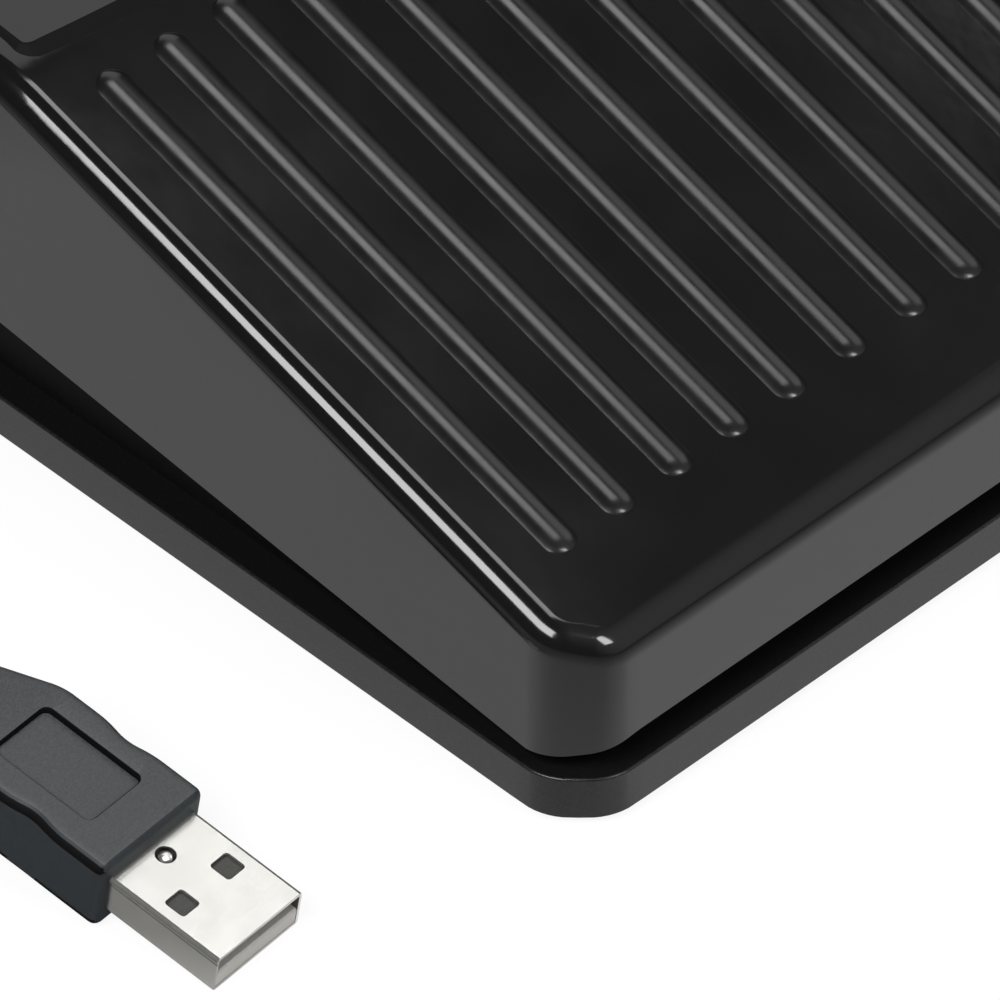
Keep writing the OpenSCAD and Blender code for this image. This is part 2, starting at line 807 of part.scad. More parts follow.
module board_screws() color("#b5b8bc")
    at_board_screws(board_top) screw(board_screw_l);

module controller_chip() color("#2b2b2d") translate([chip_x, chip_y, board_top]) {
    block(-chip_w / 2, chip_w / 2, -chip_l / 2, chip_l / 2, 0, chip_h);
    for (i = [0 : chip_pins - 1])
        translate([0, (i - (chip_pins - 1) / 2) * chip_pin_pitch, 0])
            block(-chip_w / 2 - chip_pin_out, chip_w / 2 + chip_pin_out,
                -chip_pin_w / 2, chip_pin_w / 2, 0, chip_h / 2);
}

module crystal() color("#c9ccd0")
    translate([crystal_x, crystal_y, board_top])
        linear_extrude(crystal_h) rounded_plan(crystal_w, crystal_l, crystal_r);

module board_capacitors() color("#b98d52")
    for (side = [-0.5, 0.5], row = [0, 1])
        translate([crystal_x + side * cap_x_pitch, cap_y + row * cap_y_pitch, board_top])
            block(-cap_w / 2, cap_w / 2, -cap_l / 2, cap_l / 2, 0, cap_h);

module switch_case() color("#202124") difference() {
    union() {
        block(-case_w / 2, case_w / 2, case_front, case_front + case_l, board_top, case_top);
        for (x = [-1, 1])
            switch_ear(x * (case_w - ear_t) / 2);
    }
    rod_x(lever_pin_r + pin_clear, case_w + overcut, lever_pivot_y, lever_pivot_z);
    rod_x(eye_r + running_gap, lever_w + 2 * seat_clear, lever_pivot_y, lever_pivot_z);
    block(-plunger_w / 2 - seat_clear, plunger_w / 2 + seat_clear,
        plunger_y - plunger_l / 2 - seat_clear, plunger_y + plunger_l / 2 + seat_clear,
        case_top - plunger_depth - plunger_travel - seat_clear, case_top + overcut);
}

module switch_ear(x) {
    r = lever_pin_r + switch_ear_wall;
    rod_x(r, ear_t, lever_pivot_y, lever_pivot_z, x);
    block(x - ear_t / 2, x + ear_t / 2, lever_pivot_y - r, lever_pivot_y + r,
        case_top - switch_ear_root, lever_pivot_z);
}

module switch_terminals() color("#d0b268")
    for (y = terminal_y)
        translate([0, case_front + y, 0])
            block(-terminal_t / 2, terminal_t / 2, -terminal_w / 2, terminal_w / 2,
                board_z - terminal_out, board_top);

module lever_pin() color("#c3c6c9")
    rod_x(lever_pin_r, case_w, lever_pivot_y, lever_pivot_z);

module switch_lever() color("#c3c6c9")
    translate([0, lever_pivot_y, lever_pivot_z]) difference() {
        union() {
            rod_x(eye_r, lever_w, 0, 0);
            rotate([lever_rise, 0, 0])
                block(-lever_w / 2, lever_w / 2, 0, lever_l, lever_low, lever_low + lever_t);
        }
        rod_x(lever_pin_r + pin_clear, lever_w + overcut, 0, 0);
    }

module switch_plunger() color("#b3372f")
    block(-plunger_w / 2, plunger_w / 2, plunger_y - plunger_l / 2, plunger_y + plunger_l / 2,
        case_top - plunger_depth, plunger_top);

module cord_header() color("#ece8dc") translate([header_x, header_rear, board_top]) difference() {
    block(-header_w / 2, header_w / 2, -header_l, 0, 0, header_h);
    block(header_wall - header_w / 2, header_w / 2 - header_wall, header_back - header_l, overcut,
        header_wall, header_h - header_wall);
}

module header_plug() color("#f2efe6") {
    wall = header_wall + seat_clear;
    block(header_x - header_w / 2 + wall, header_x + header_w / 2 - wall,
        header_plug_front, header_plug_rear, board_top + wall, board_top + header_h - wall);
}

// One of the lead's four wires, from its place on the header plug to its place in the jacket
module lead_wire(i) {
    x0 = header_x + (i - 1.5) * wire_pitch;
    x1 = i % 2 == 0 ? -lead_wire_spread : lead_wire_spread;
    past = wire_side + 2 * i * lead_wire_spread;
    near = (i < 2 ? 2.6 : 3.8) + x1 + lead_wire_spread;
    dz = i < 2 ? lead_wire_spread : -lead_wire_spread;
    y0 = header_plug_rear;
    tube([
        [x0, y0, wire_z], [x0, y0 + 2.6, wire_z], [x0 + 1.4, y0 + 5.1, wire_z - 0.1],
        [past - 1, y0 + 8.1, wire_z - 0.5], [past, y0 + 11.1, wire_z - 1],
        [past - 0.3, spring_y + spring_d / 2, wire_z - 1.8],
        [past - 2.8, inner_end - 18, cord_z + 0.5 + 0.4 * dz], [near, inner_end - 9, cord_z + dz],
        [x1, inner_end - 2, cord_z + dz], [x1, inner_end, cord_z + dz]
    ], lead_wire_r, lead_wire_sides);
}

module wire_red() color("#b52a25") lead_wire(0);
module wire_white() color("#e6e4df") lead_wire(1);
module wire_green() color("#2f7d46") lead_wire(2);
module wire_black() color("#232324") lead_wire(3);

module cord_inner() color("#1d1d1e")
    rod_y(cord_r, inner_end, inner_start, 0, cord_z);

module cord_clamp() color("#262628") difference() {
    slab(clamp_w, clamp_l, clamp_l / 2 - seat_clear, cord_z + cord_r, cord_z + cord_r + clamp_t, clamp_y);
    at_clamp_screws(cord_z) cylinder(r = screw_r + seat_clear, h = cord_r + clamp_t + overcut);
}

module clamp_screws() color("#b5b8bc")
    at_clamp_screws(cord_z + cord_r + clamp_t) screw(clamp_screw_l);

// Moulded rubber strain relief: a flange inside the curb, a neck through it and a grooved nose
module strain_relief() color("#232324") {
    nose_start = curb_rear + relief_collar_l;
    nose_end = relief_end - relief_tip_l;
    pitch = (nose_end - nose_start) / relief_grooves;
    rod_y(relief_flange_r, inner_start, curb_rear - curb_t, 0, cord_z);
    rod_y(relief_neck_r, inner_start, relief_end, 0, cord_z, relief_tip_r);
    rod_y(relief_r, curb_rear, nose_start, 0, cord_z);
    for (i = [0 : relief_grooves - 1])
        rod_y(relief_r - relief_taper * i, nose_start + i * pitch + relief_groove_w,
            nose_start + (i + 1) * pitch, 0, cord_z);
}

module cord_lead() color("#1d1d1e")
    tube(lead_route, cord_r, cord_sides);

module cord_coil() color("#1d1d1e")
    tube(coil_path, cord_r, coil_sides);

// Tie round the coil's loops
module cord_tie() color("#303032") {
    x0 = coil_x + coil_inner_r - cord_r - tie_gap;
    x1 = coil_x + coil_r + cord_r + tie_gap;
    z0 = coil_low_z - cord_r - tie_gap;
    z1 = coil_top_z + cord_r + tie_gap;
    difference() {
        block(x0 - tie_t, x1 + tie_t, coil_y - tie_w / 2, coil_y + tie_w / 2, z0 - tie_t, z1 + tie_t);
        block(x0, x1, coil_y - tie_w, coil_y + tie_w, z0, z1);
    }
}

module plug_lead() color("#1d1d1e")
    tube(plug_route, cord_r, cord_sides);

// The plug is drawn with its tip at y = 0 and its shell on z = 0, then laid in place
module as_plug()
    translate([plug_x, plug_y, 0]) rotate([plug_pitch, 0, plug_yaw]) children();

module plug_grip() color("#35383b") as_plug() difference() {
    union() {
        intersection() {
            translate([0, 0, grip_low]) linear_extrude(grip_h) difference() {
                grip_plan();
                for (s = [0, 1])
                    mirror([s, 0]) grip_waist();
            }
            across(grip_w) grip_side();
        }
        rod_y(sleeve_r, grip_end - sleeve_root, plug_l, 0, plug_axis_z, sleeve_tip_r);
    }
    translate([0, label_start + label_l / 2, grip_top - label_depth])
        linear_extrude(label_depth + overcut) rounded_plan(label_w, label_l, label_r);
    block(-shell_w / 2 - pin_clear, shell_w / 2 + pin_clear, shell_l - overcut, shell_l + shell_seat,
        -pin_clear, shell_h + pin_clear);
}

// Outline of the grip from above, and the shallow notch in its side
module grip_plan() {
    y2 = grip_end - grip_taper_l;
    polygon([
        [-grip_w / 2, shell_l], [grip_w / 2, shell_l], [grip_w / 2, y2], [grip_tail_w / 2, grip_end],
        [-grip_tail_w / 2, grip_end], [-grip_w / 2, y2]
    ]);
}

module grip_waist() {
    y1 = shell_l + waist_start;
    polygon([
        [grip_w / 2, y1], [grip_w / 2, y1 + 2 * waist_l], [grip_w / 2 - waist_depth, y1 + waist_l]
    ]);
}

// Outline of the grip from the side
module grip_side() {
    y2 = grip_end - grip_taper_l;
    polygon([
        [shell_l, grip_low], [y2, grip_low], [grip_end, plug_axis_z - grip_tail_h / 2],
        [grip_end, plug_axis_z + grip_tail_h / 2], [y2, grip_top], [shell_l, grip_top]
    ]);
}

module plug_shell() color("#d8d8d4") as_plug() difference() {
    l = shell_l + shell_seat;
    block(-shell_w / 2, shell_w / 2, 0, l, 0, shell_h);
    block(shell_t - shell_w / 2, shell_w / 2 - shell_t, -overcut, l + overcut, shell_t, shell_h - shell_t);
    for (x = [-window_x, window_x])
        translate([x, window_y, -overcut])
            block(-window_w / 2, window_w / 2, -window_w / 2, window_w / 2, 0, shell_h + 2 * overcut);
    translate([0, dimple_y, shell_h - shell_t - overcut]) cylinder(r = dimple_r, h = shell_t + 2 * overcut);
}

// White tongue in the shell, with its thick root behind the contacts
module plug_insulator() color("#dcdcd8") as_plug() {
    side = shell_w / 2 - shell_t - pin_clear;
    low = shell_t + pin_clear;
    block(-side, side, tongue_inset, shell_l + shell_seat, low, low + tongue_t);
    block(-side, side, contact_end, shell_l + shell_seat, low, shell_h - low);
}

module plug_contacts() color("#c9a24a") as_plug()
    for (i = [0 : len(contact_x) - 1])
        block(contact_x[i] - contact_w / 2, contact_x[i] + contact_w / 2, contact_start[i], contact_end,
            shell_t + pin_clear + tongue_t, shell_t + pin_clear + tongue_t + contact_t);

base_tray();
rubber_feet();
hinge_pin();
treadle();
return_spring();
circuit_board();
board_screws();
controller_chip();
crystal();
board_capacitors();
switch_case();
switch_terminals();
lever_pin();
switch_lever();
switch_plunger();
cord_header();
header_plug();
wire_red();
wire_white();
wire_green();
wire_black();
cord_inner();
cord_clamp();
clamp_screws();
strain_relief();
cord_lead();
cord_coil();
cord_tie();
plug_lead();
plug_grip();
plug_shell();
plug_insulator();
plug_contacts();
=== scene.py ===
import bmesh
import bpy
from math import asin, atan, atan2, copysign, cos, degrees, hypot, pi, radians, sin, sqrt, tan
from mathutils import Matrix, Vector


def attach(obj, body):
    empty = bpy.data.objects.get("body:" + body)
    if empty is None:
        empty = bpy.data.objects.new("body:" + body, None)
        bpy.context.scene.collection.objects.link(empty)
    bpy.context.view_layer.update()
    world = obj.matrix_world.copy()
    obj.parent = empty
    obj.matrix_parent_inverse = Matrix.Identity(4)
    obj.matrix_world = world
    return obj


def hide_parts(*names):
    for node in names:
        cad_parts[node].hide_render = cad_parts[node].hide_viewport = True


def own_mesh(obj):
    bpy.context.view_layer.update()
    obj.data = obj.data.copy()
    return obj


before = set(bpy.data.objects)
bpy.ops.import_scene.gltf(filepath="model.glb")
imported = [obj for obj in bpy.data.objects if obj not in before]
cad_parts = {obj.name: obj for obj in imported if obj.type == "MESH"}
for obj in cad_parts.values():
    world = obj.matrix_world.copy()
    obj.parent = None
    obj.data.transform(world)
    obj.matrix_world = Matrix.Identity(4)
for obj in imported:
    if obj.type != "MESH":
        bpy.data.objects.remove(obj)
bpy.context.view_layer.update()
scene = bpy.context.scene
scene.view_settings.view_transform = "Standard"

# Camera: a long lens, a little under 45 degrees up and close on the front left corner,
# so that lines which run the same way stay nearly parallel.
CAMERA_AIM, CAMERA_DISTANCE = Vector((-0.034456, -0.040767, 0.020)), 1.40638


def new_object(name, data):
    """A new object in the scene."""
    thing = bpy.data.objects.new(name, data)
    scene.collection.objects.link(thing)
    return thing


azimuth, elevation = radians(-44.543), radians(42.928)
towards_camera = Vector((
    cos(elevation) * sin(azimuth),
    -cos(elevation) * cos(azimuth),
    sin(elevation),
))
camera_data = bpy.data.cameras.new("camera")
camera_data.sensor_width = 36
camera_data.lens = 538.9
camera_data.clip_start = 0.05
camera = new_object("camera", camera_data)
camera.location = CAMERA_AIM + CAMERA_DISTANCE * towards_camera
camera.rotation_euler = towards_camera.to_track_quat("Z", "Y").to_euler()
scene.camera = camera

# Lead: a round two-pair cable in a satin PVC jacket, extruded over its cores. It leaves the rear of the base,
# lies on the floor, is wound into a put-away coil of four layers and ends in the plug.
MM = 0.001
CORD_D, CORD_Z, RELIEF_END, JACKET_SKIN = 3.6, 7.8, 74.0, 1.111
COIL_X, COIL_Y, COIL_R, COIL_INNER_R = -80.0, 100.0, 27.0, 14.444
COIL_TURNS, COIL_LAYERS, COIL_LOW, COIL_STEP, TURN_STEPS = 12.25, 4, 2.7, 4.1, 32
PLUG_X, PLUG_Y, PLUG_TURN, PLUG_L, PLUG_MID, GRIP_FRONT, GRIP_LOW = -79.3, -53.9, 5.1, 53.5, 2.25, 13.5, -2.25
# The plug lies on the tip of its shell and on the front of its grip
plug_place = (Matrix.Translation((PLUG_X, PLUG_Y, 0))
              @ Matrix.Rotation(radians(PLUG_TURN), 4, "Z")
              @ Matrix.Rotation(atan(-GRIP_LOW / GRIP_FRONT), 4, "X"))


def linear(hex_colour):
    """Turns an sRGB hex colour to the linear values that shaders take."""
    channels = [int(hex_colour[i:i + 2], 16) / 255 for i in (1, 3, 5)]
    return [c / 12.92 if c <= 0.04045 else ((c + 0.055) / 1.055) ** 2.4 for c in channels] + [1]


def set_inputs(tree, node, inputs):
    """Sets a node's inputs to plain values, or links them from other nodes' outputs."""
    for name, value in inputs.items():
        if isinstance(value, bpy.types.NodeSocket):
            tree.links.new(value, node.inputs[name])
        else:
            node.inputs[name].default_value = value


def add_node(tree, kind, inputs=(), output=0, **settings):
    """Adds a node with its settings and inputs, and gives one of its outputs."""
    node = tree.nodes.new(kind)
    for name, value in settings.items():
        setattr(node, name, value)
    set_inputs(tree, node, dict(inputs))
    return node.outputs[output] if len(node.outputs) else None


def new_finish(name):
    """A material with one shader, and that shader's tree."""
    material = bpy.data.materials.new(name)
    material.use_nodes = True
    return material, material.node_tree, material.node_tree.nodes["Principled BSDF"]


def declare(piece, body, slot, *nodes):
    """Says what a piece moves with and what it stands for; its slot is not used."""
    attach(piece, body)
    if nodes:
        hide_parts(*nodes)


def smooth_route(points, steps):
    """Points on a smooth curve through a route, with some steps between each two."""
    points = [Vector(p) for p in points]
    ends = [2 * points[0] - points[1]] + points + [2 * points[-1] - points[-2]]
    route = []
    for a, b, c, d in zip(ends, ends[1:], ends[2:], ends[3:]):
        for k in range(steps):
            t = k / steps
            route.append(0.5 * (2 * b + (c - a) * t + (2 * a - 5 * b + 4 * c - d) * t * t
                                + (3 * b - a - 3 * c + d) * t ** 3))
    return route + [points[-1]]


def coil_climb(past):
    """Share of the climb to the next layer, which takes half a turn."""
    return min(1, max(0, past * COIL_TURNS / 2 + 0.5))


lead_route = [(x, RELIEF_END + back, z) for x, back, z in (
    (0, -6, CORD_Z), (0, 0, CORD_Z), (0, 8, CORD_Z - 0.4), (-0.5, 16, 6.2), (-3, 24, 4.4), (-8, 32, 3),
    (-15, 39.5, 2.2), (-23, 45, 1.9), (-32, 49, 1.9), (-42, 51.5, 1.9), (-52, 52.6, 2), (-62, 53, 2.4),
    (-70, 53, COIL_LOW))] + [(COIL_X + 4, COIL_Y + COIL_R, COIL_LOW)]
coil_route = []
coil_steps = int(TURN_STEPS * COIL_TURNS)
for i in range(coil_steps + 1):
    u = COIL_LAYERS * i / coil_steps
    layer = min(COIL_LAYERS - 1, int(u))
    share = u - layer if layer % 2 == 0 else 1 - (u - layer)
    radius = COIL_R - (COIL_R - COIL_INNER_R) * share
    angle = pi / 2 + 2 * pi * i / TURN_STEPS
    height = COIL_LOW + COIL_STEP * sum(coil_climb(u - n) for n in range(1, COIL_LAYERS))
    coil_route.append((COIL_X + radius * cos(angle), COIL_Y + radius * sin(angle), height))
plug_route = [
    (COIL_X - COIL_R, COIL_Y - 4, 15), (-107, 90, 15), (-107, 85, 14.3), (-106.8, 80, 12.8), (-106.4, 75, 10.6),
    (-105.6, 70, 8), (-104.4, 65, 5.4), (-102.8, 60, 3.4), (-100.8, 55, 2.2), (-98.6, 50, 1.9),
    (-96.4, 45, 2.1), (-94.2, 40, 2.9), (-92.2, 35, 4.5), (-90.4, 30, 6.6), (-88.8, 25, 8.9),
    (-87.4, 20, 10.9), (-86.3, 15, 12.1),
] + [plug_place @ Vector((0, PLUG_L + along, PLUG_MID)) for along in (8, 4, 0, -3)]
route = smooth_route(lead_route, 3) + coil_route + smooth_route(plug_route, 3)
cord_curve = bpy.data.curves.new("lead", "CURVE")
cord_curve.dimensions = "3D"
cord_curve.bevel_depth = CORD_D / 2 * MM
cord_curve.bevel_resolution = 4
cord_curve.use_fill_caps = True
spline = cord_curve.splines.new("POLY")
spline.points.add(len(route) - 1)
for point, place in zip(spline.points, route):
    point.co = (*(Vector(place) * MM), 1)
spline.use_smooth = True
lead = new_object("lead", cord_curve)

# PVC jacket: extruded and satin, so broad soft highlights with a faint drag along its skin.
cord_pvc, tree, shader = new_finish("extruded_pvc_jacket")
place = add_node(tree, "ShaderNodeTexCoord", output="Object")
skin = add_node(tree, "ShaderNodeTexNoise", {"Vector": place, "Scale": 1 / (JACKET_SKIN * MM), "Detail": 3})
tone = add_node(tree, "ShaderNodeValToRGB", {"Fac": skin})
for stop, colour in zip(tone.node.color_ramp.elements, ("#171718", "#222224")):
    stop.color = linear(colour)
drag = add_node(tree, "ShaderNodeBump", {"Height": skin, "Strength": 0.12, "Distance": 0.1 * MM})
set_inputs(tree, shader, {"Base Color": tone, "Normal": drag, "Roughness": 0.42, "IOR": 1.53})
cord_curve.materials.append(cord_pvc)
declare(lead, "base", "cord_jacket", "cord_lead", "cord_coil", "plug_lead")

# Base: a shallow tray moulded in satin black ABS. A curb stands inside the treadle's skirt, and the floor carries the
# hinge ears, the posts for the screws and the spring, and two ledges that stop the treadle's hooks.
BASE_HALF_W, BASE_HALF_L, BASE_CORNER, BASE_TOP, BASE_FLOOR = 48.0, 65.0, 9.0, 6.0, 1.5
BASE_EDGE_R, INNER_EDGE_R = 0.28, 0.15
RIM_CORNER, RIM_BEND, RIM_FLAT_AT, TOUCH = 8.2, 6.3, 44.5, 0.02
SKIN_LOW, SKIN_HIGH = 0.32, 0.68


def skin_finish(name, dark, light, grain, rough, relief, metallic=0, ior=1.5, specular=0.5):
    """A material with an uneven skin: one noise, its grain in millimetres, sets tone, gloss and relief."""
    material, tree, shader = new_finish(name)
    place = add_node(tree, "ShaderNodeTexCoord", output="Object")
    skin = add_node(tree, "ShaderNodeTexNoise", {"Vector": place, "Scale": 1 / (grain * MM), "Detail": 3})
    tone = add_node(tree, "ShaderNodeValToRGB", {"Fac": skin})
    for stop, at, colour in zip(tone.node.color_ramp.elements, (SKIN_LOW, SKIN_HIGH), (dark, light)):
        stop.position, stop.color = at, linear(colour)
    gloss = add_node(tree, "ShaderNodeMapRange", {"Value": skin, "From Min": SKIN_LOW, "From Max": SKIN_HIGH,
                                                  "To Min": rough[0], "To Max": rough[1]})
    bump = add_node(tree, "ShaderNodeBump", {"Height": skin, "Strength": 0.6, "Distance": relief * MM})
    set_inputs(tree, shader, {"Base Color": tone, "Roughness": gloss, "Normal": bump, "Metallic": metallic, "IOR": ior,
                              "Specular IOR Level": specular})
    return material


def bake(piece):
    """Makes what a piece's modifiers give its plain mesh."""
    graph = bpy.context.evaluated_depsgraph_get()
    plain = bpy.data.meshes.new_from_object(piece.evaluated_get(graph), preserve_all_data_layers=True,
                                            depsgraph=graph)
    piece.modifiers.clear()
    piece.data = plain


def finished_mesh(bm, name, sharp):
    """A mesh in millimetres turned to metres, faces outward, smooth but for its sharp edges."""
    bmesh.ops.scale(bm, vec=(MM, MM, MM), verts=bm.verts)
    bmesh.ops.recalc_face_normals(bm, faces=bm.faces)
    for face in bm.faces:
        face.smooth = True
    for edge in bm.edges:
        if len(edge.link_faces) == 2 and edge.calc_face_angle() > radians(sharp):
            edge.smooth = False
    mesh = bpy.data.meshes.new(name)
    bm.to_mesh(mesh)
    bm.free()
    return mesh


def settle(bm, name, materials, body, slot, *nodes, sharp=40):
    """A finished piece from a mesh in millimetres, its flat faces kept flat."""
    mesh = finished_mesh(bm, name, sharp)
    for material in materials:
        mesh.materials.append(material)
    piece = new_object(name, mesh)
    piece.modifiers.new("flat faces lead", "WEIGHTED_NORMAL").keep_sharp = True
    bake(piece)
    declare(piece, body, slot, *nodes)
    return piece


def merged_copy(node):
    """A CAD node's own solid in millimetres, its loose triangles merged to whole faces."""
    bm = bmesh.new()
    bm.from_mesh(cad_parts[node].data)
    bmesh.ops.scale(bm, vec=(1 / MM, 1 / MM, 1 / MM), verts=bm.verts)
    bmesh.ops.remove_doubles(bm, verts=bm.verts, dist=0.001)
    bmesh.ops.dissolve_limit(bm, angle_limit=radians(1), verts=bm.verts, edges=bm.edges)
    return bm


def round_edges(bm, radius, steps, picked=None):
    """Rounds the picked edges, or else every sharp edge that points outward."""
    if picked is None:
        picked = [e for e in bm.edges if e.is_convex and e.calc_face_angle() > radians(50)]
    bmesh.ops.bevel(bm, geom=picked, offset=radius, offset_type="OFFSET", segments=steps, profile=0.5,
                    affect="EDGES")


def rounded_piece(node, name, material, slot, radius, steps=2, body="base"):
    """A piece with a CAD node's own shape and soft edges."""
    bm = merged_copy(node)
    round_edges(bm, radius, steps)
    settle(bm, name, [material], body, slot, node)


def from_rim(place):
    """How far inside the base's outer side a point is, in plan."""
    out = hypot(max(0, abs(place.x) - BASE_HALF_W + BASE_CORNER), max(0, abs(place.y) - BASE_HALF_L + BASE_CORNER))
    return BASE_CORNER - out if out else min(BASE_HALF_W - abs(place.x), BASE_HALF_L - abs(place.y))


def corner_out(angle, later, radius, bend):
    """Out from a corner's centre at an angle in degrees: two tight bends with a flat between, the later after 45."""
    reach, short = radius - bend, (sqrt(2) - 1) * (radius - bend)
    along, across = (short, reach) if later else (reach, short)
    return along + bend * cos(radians(angle)), across + bend * sin(radians(angle))


# Satin ABS: moulded against a blasted tool, so soft broad reflections. Matt ABS: a coarser, nearly black copy that
# gives back hardly any; it is painted shade, inside the base and on the step round the platform.
satin_abs = skin_finish("satin_black_abs", "#141415", "#1a1a1b", 0.5, (0.26, 0.34), 0.003, specular=0.36)
matt_shade_abs = skin_finish("matt_painted_shade_abs", "#070707", "#0a0a0a", 0.3, (0.6, 0.75), 0.01, specular=0.12)
bm = merged_copy("base_tray")
for vert in bm.verts:
    over_x, over_y = abs(vert.co.x) - BASE_HALF_W + BASE_CORNER, abs(vert.co.y) - BASE_HALF_L + BASE_CORNER
    if over_x > 0.01 and over_y > 0.01 and from_rim(vert.co) < TOUCH:
        angle = degrees(atan2(over_y, over_x))
        earlier, later = (Vector(corner_out(angle, after, RIM_CORNER, RIM_BEND)) for after in (False, True))
        out = earlier.lerp(later, min(1, max(0, angle - RIM_FLAT_AT)))
        vert.co.x = copysign(BASE_HALF_W - RIM_CORNER + out.x, vert.co.x)
        vert.co.y = copysign(BASE_HALF_L - RIM_CORNER + out.y, vert.co.y)
rim = [e for e in bm.edges if all(from_rim(v.co) < TOUCH and abs(v.co.z - BASE_TOP) < 0.01 for v in e.verts)]
round_edges(bm, BASE_EDGE_R, 5, rim)
round_edges(bm, INNER_EDGE_R, 2)
# Faces inside the rim and above the floor take the matt, nearly black copy: painted shade in the gap under the treadle
for face in bm.faces:
    middle = face.calc_center_median()
    face.material_index = 1 if from_rim(middle) > 1.1 * BASE_EDGE_R and middle.z > BASE_FLOOR else 0
settle(bm, "base_moulding", [satin_abs, matt_shade_abs], "base", "base_plastic", "base_tray")

# Rubber feet: four round pads of moulded black rubber, glued in shallow seats under the base. Each has a soft lower
# edge and a dished sole, so that it grips on its rim.
FOOT_X, FOOT_Y, FOOT_R, FOOT_H, POLE_R = 33, 50, 6, 2, 0.02
foot_profile = [(0.25, POLE_R), (0.25, 3.4), (0.15, 3.7), (0, 4.1), (0, 5.3), (0.1, 5.65), (0.3, 5.88), (0.6, FOOT_R),
                (FOOT_H, FOOT_R), (FOOT_H, POLE_R)]


def circle(radius, steps, y=0):
    """Points round a circle in plan, its centre on the Y axis."""
    angles = [2 * pi * k / steps for k in range(steps)]
    return [(radius * cos(a), y + radius * sin(a)) for a in angles]


def wrap(bm, rings, number=0):
    """Four-sided faces over rings of equal count, as one list for each two rings."""
    strips = []
    for lower, upper in zip(rings, rings[1:]):
        corners = zip(lower, lower[1:] + lower[:1], upper[1:] + upper[:1], upper)
        strips.append([bm.faces.new(four) for four in corners])
        for face in strips[-1]:
            face.material_index = number
    return strips


def join_rings(bm, rings, number=0):
    """A closed solid: a skin over rings of equal count, shut at both ends."""
    wrap(bm, rings, number)
    for end in (rings[0][::-1], rings[-1]):
        bm.faces.new(end).material_index = number


def turned(bm, profile, steps, place, number=0):
    """A closed solid turned about place's Z. The profile's points are along the axis and out."""
    join_rings(bm, [[bm.verts.new(place @ Vector((x, y, along))) for x, y in circle(radius, steps)]
                    for along, radius in profile], number)


def new_tree(name, inputs):
    """A Geometry Nodes tree with named inputs, and the sockets that give them."""
    tree = bpy.data.node_groups.new(name, "GeometryNodeTree")
    for label, kind in inputs.items():
        tree.interface.new_socket(label, in_out="INPUT", socket_type="NodeSocket" + kind)
    tree.interface.new_socket("Geometry", in_out="OUTPUT", socket_type="NodeSocketGeometry")
    return tree, add_node(tree, "NodeGroupInput").node.outputs


def grow(piece, tree, shapes, material, values):
    """Ends a tree in real faces with a material, and gives a piece the mesh that it makes."""
    real = add_node(tree, "GeometryNodeRealizeInstances", {0: shapes})
    real = add_node(tree, "GeometryNodeSetMaterial", {"Geometry": real, "Material": material})
    add_node(tree, "NodeGroupOutput", {0: real})
    modifier = piece.modifiers.new(tree.name, "NODES")
    modifier.node_group = tree
    for label, value in values.items():
        modifier[tree.interface.items_tree[label].identifier] = value
    bake(piece)


# Rubber: moulded and matt, so a dusty dark grey with hardly a highlight.
foot_rubber = skin_finish("moulded_black_rubber", "#1b1b1c", "#262627", 0.35, (0.7, 0.85), 0.02, ior=1.52)
bm = bmesh.new()
turned(bm, foot_profile, 48, Matrix())
one_foot = new_object("one_foot", finished_mesh(bm, "one_foot", 40))
foot_tree, given = new_tree("feet", {"Places": "Geometry", "Shape": "Object"})
foot = add_node(foot_tree, "GeometryNodeObjectInfo", {"Object": given["Shape"]}, "Geometry")
feet = add_node(foot_tree, "GeometryNodeInstanceOnPoints", {"Points": given["Places"], "Instance": foot})
foot_places = bpy.data.meshes.new("rubber_feet_pads")
foot_places.from_pydata([(x * MM, y * MM, 0) for x in (-FOOT_X, FOOT_X) for y in (-FOOT_Y, FOOT_Y)], [], [])
rubber_feet = new_object("rubber_feet_pads", foot_places)
grow(rubber_feet, foot_tree, feet, foot_rubber, {"Shape": one_foot})
bpy.data.objects.remove(one_foot)
declare(rubber_feet, "base", "foot_rubber", "rubber_feet")

# Hinge pin: a plain steel rod with broken edges, pushed in from the side through the curb and the two hinge ears.
# The treadle's bearings snap on it from above. Ground steel: bright, with a finely broken reflection.
ground_steel = skin_finish("ground_steel", "#aeb0b3", "#c9cbce", 0.25, (0.18, 0.3), 0.002, metallic=1)
rounded_piece("hinge_pin", "hinge_rod", ground_steel, "bright_steel", 0.3)

# Circuit board: glass-filled epoxy laminate under green solder mask, screwed to four posts on the base's floor.
# Its controller, crystal and capacitors are soldered on top.
# Solder mask is a lacquer, so glossy with a ripple. Filled epoxy is dull, plated steel bright, fired ceramic matt.
solder_mask = skin_finish("green_solder_mask", "#0d3a20", "#124829", 0.3, (0.22, 0.34), 0.008, ior=1.55)
moulded_epoxy = skin_finish("moulded_black_epoxy", "#161617", "#212122", 0.12, (0.5, 0.65), 0.006, ior=1.55)
nickel_can = skin_finish("plated_steel_can", "#b4b6b8", "#cfd0d1", 0.4, (0.22, 0.34), 0.002, metallic=1)
ceramic = skin_finish("fired_ceramic", "#a07445", "#b98f5c", 0.1, (0.45, 0.6), 0.004)
zinc_screw = skin_finish("zinc_plated_steel", "#9fa2a6", "#bcbfc3", 0.3, (0.28, 0.42), 0.004, metallic=1)
rounded_piece("circuit_board", "board_laminate_sheet", solder_mask, "board_laminate", 0.1)
rounded_piece("controller_chip", "controller_package", moulded_epoxy, "chip_resin", 0.08)
rounded_piece("crystal", "crystal_can", nickel_can, "bright_steel", 0.4, 4)
rounded_piece("board_capacitors", "chip_capacitors", ceramic, "ceramic", 0.1)
rounded_piece("board_screws", "board_screw_set", zinc_screw, "screw_steel", 0.15, 3)

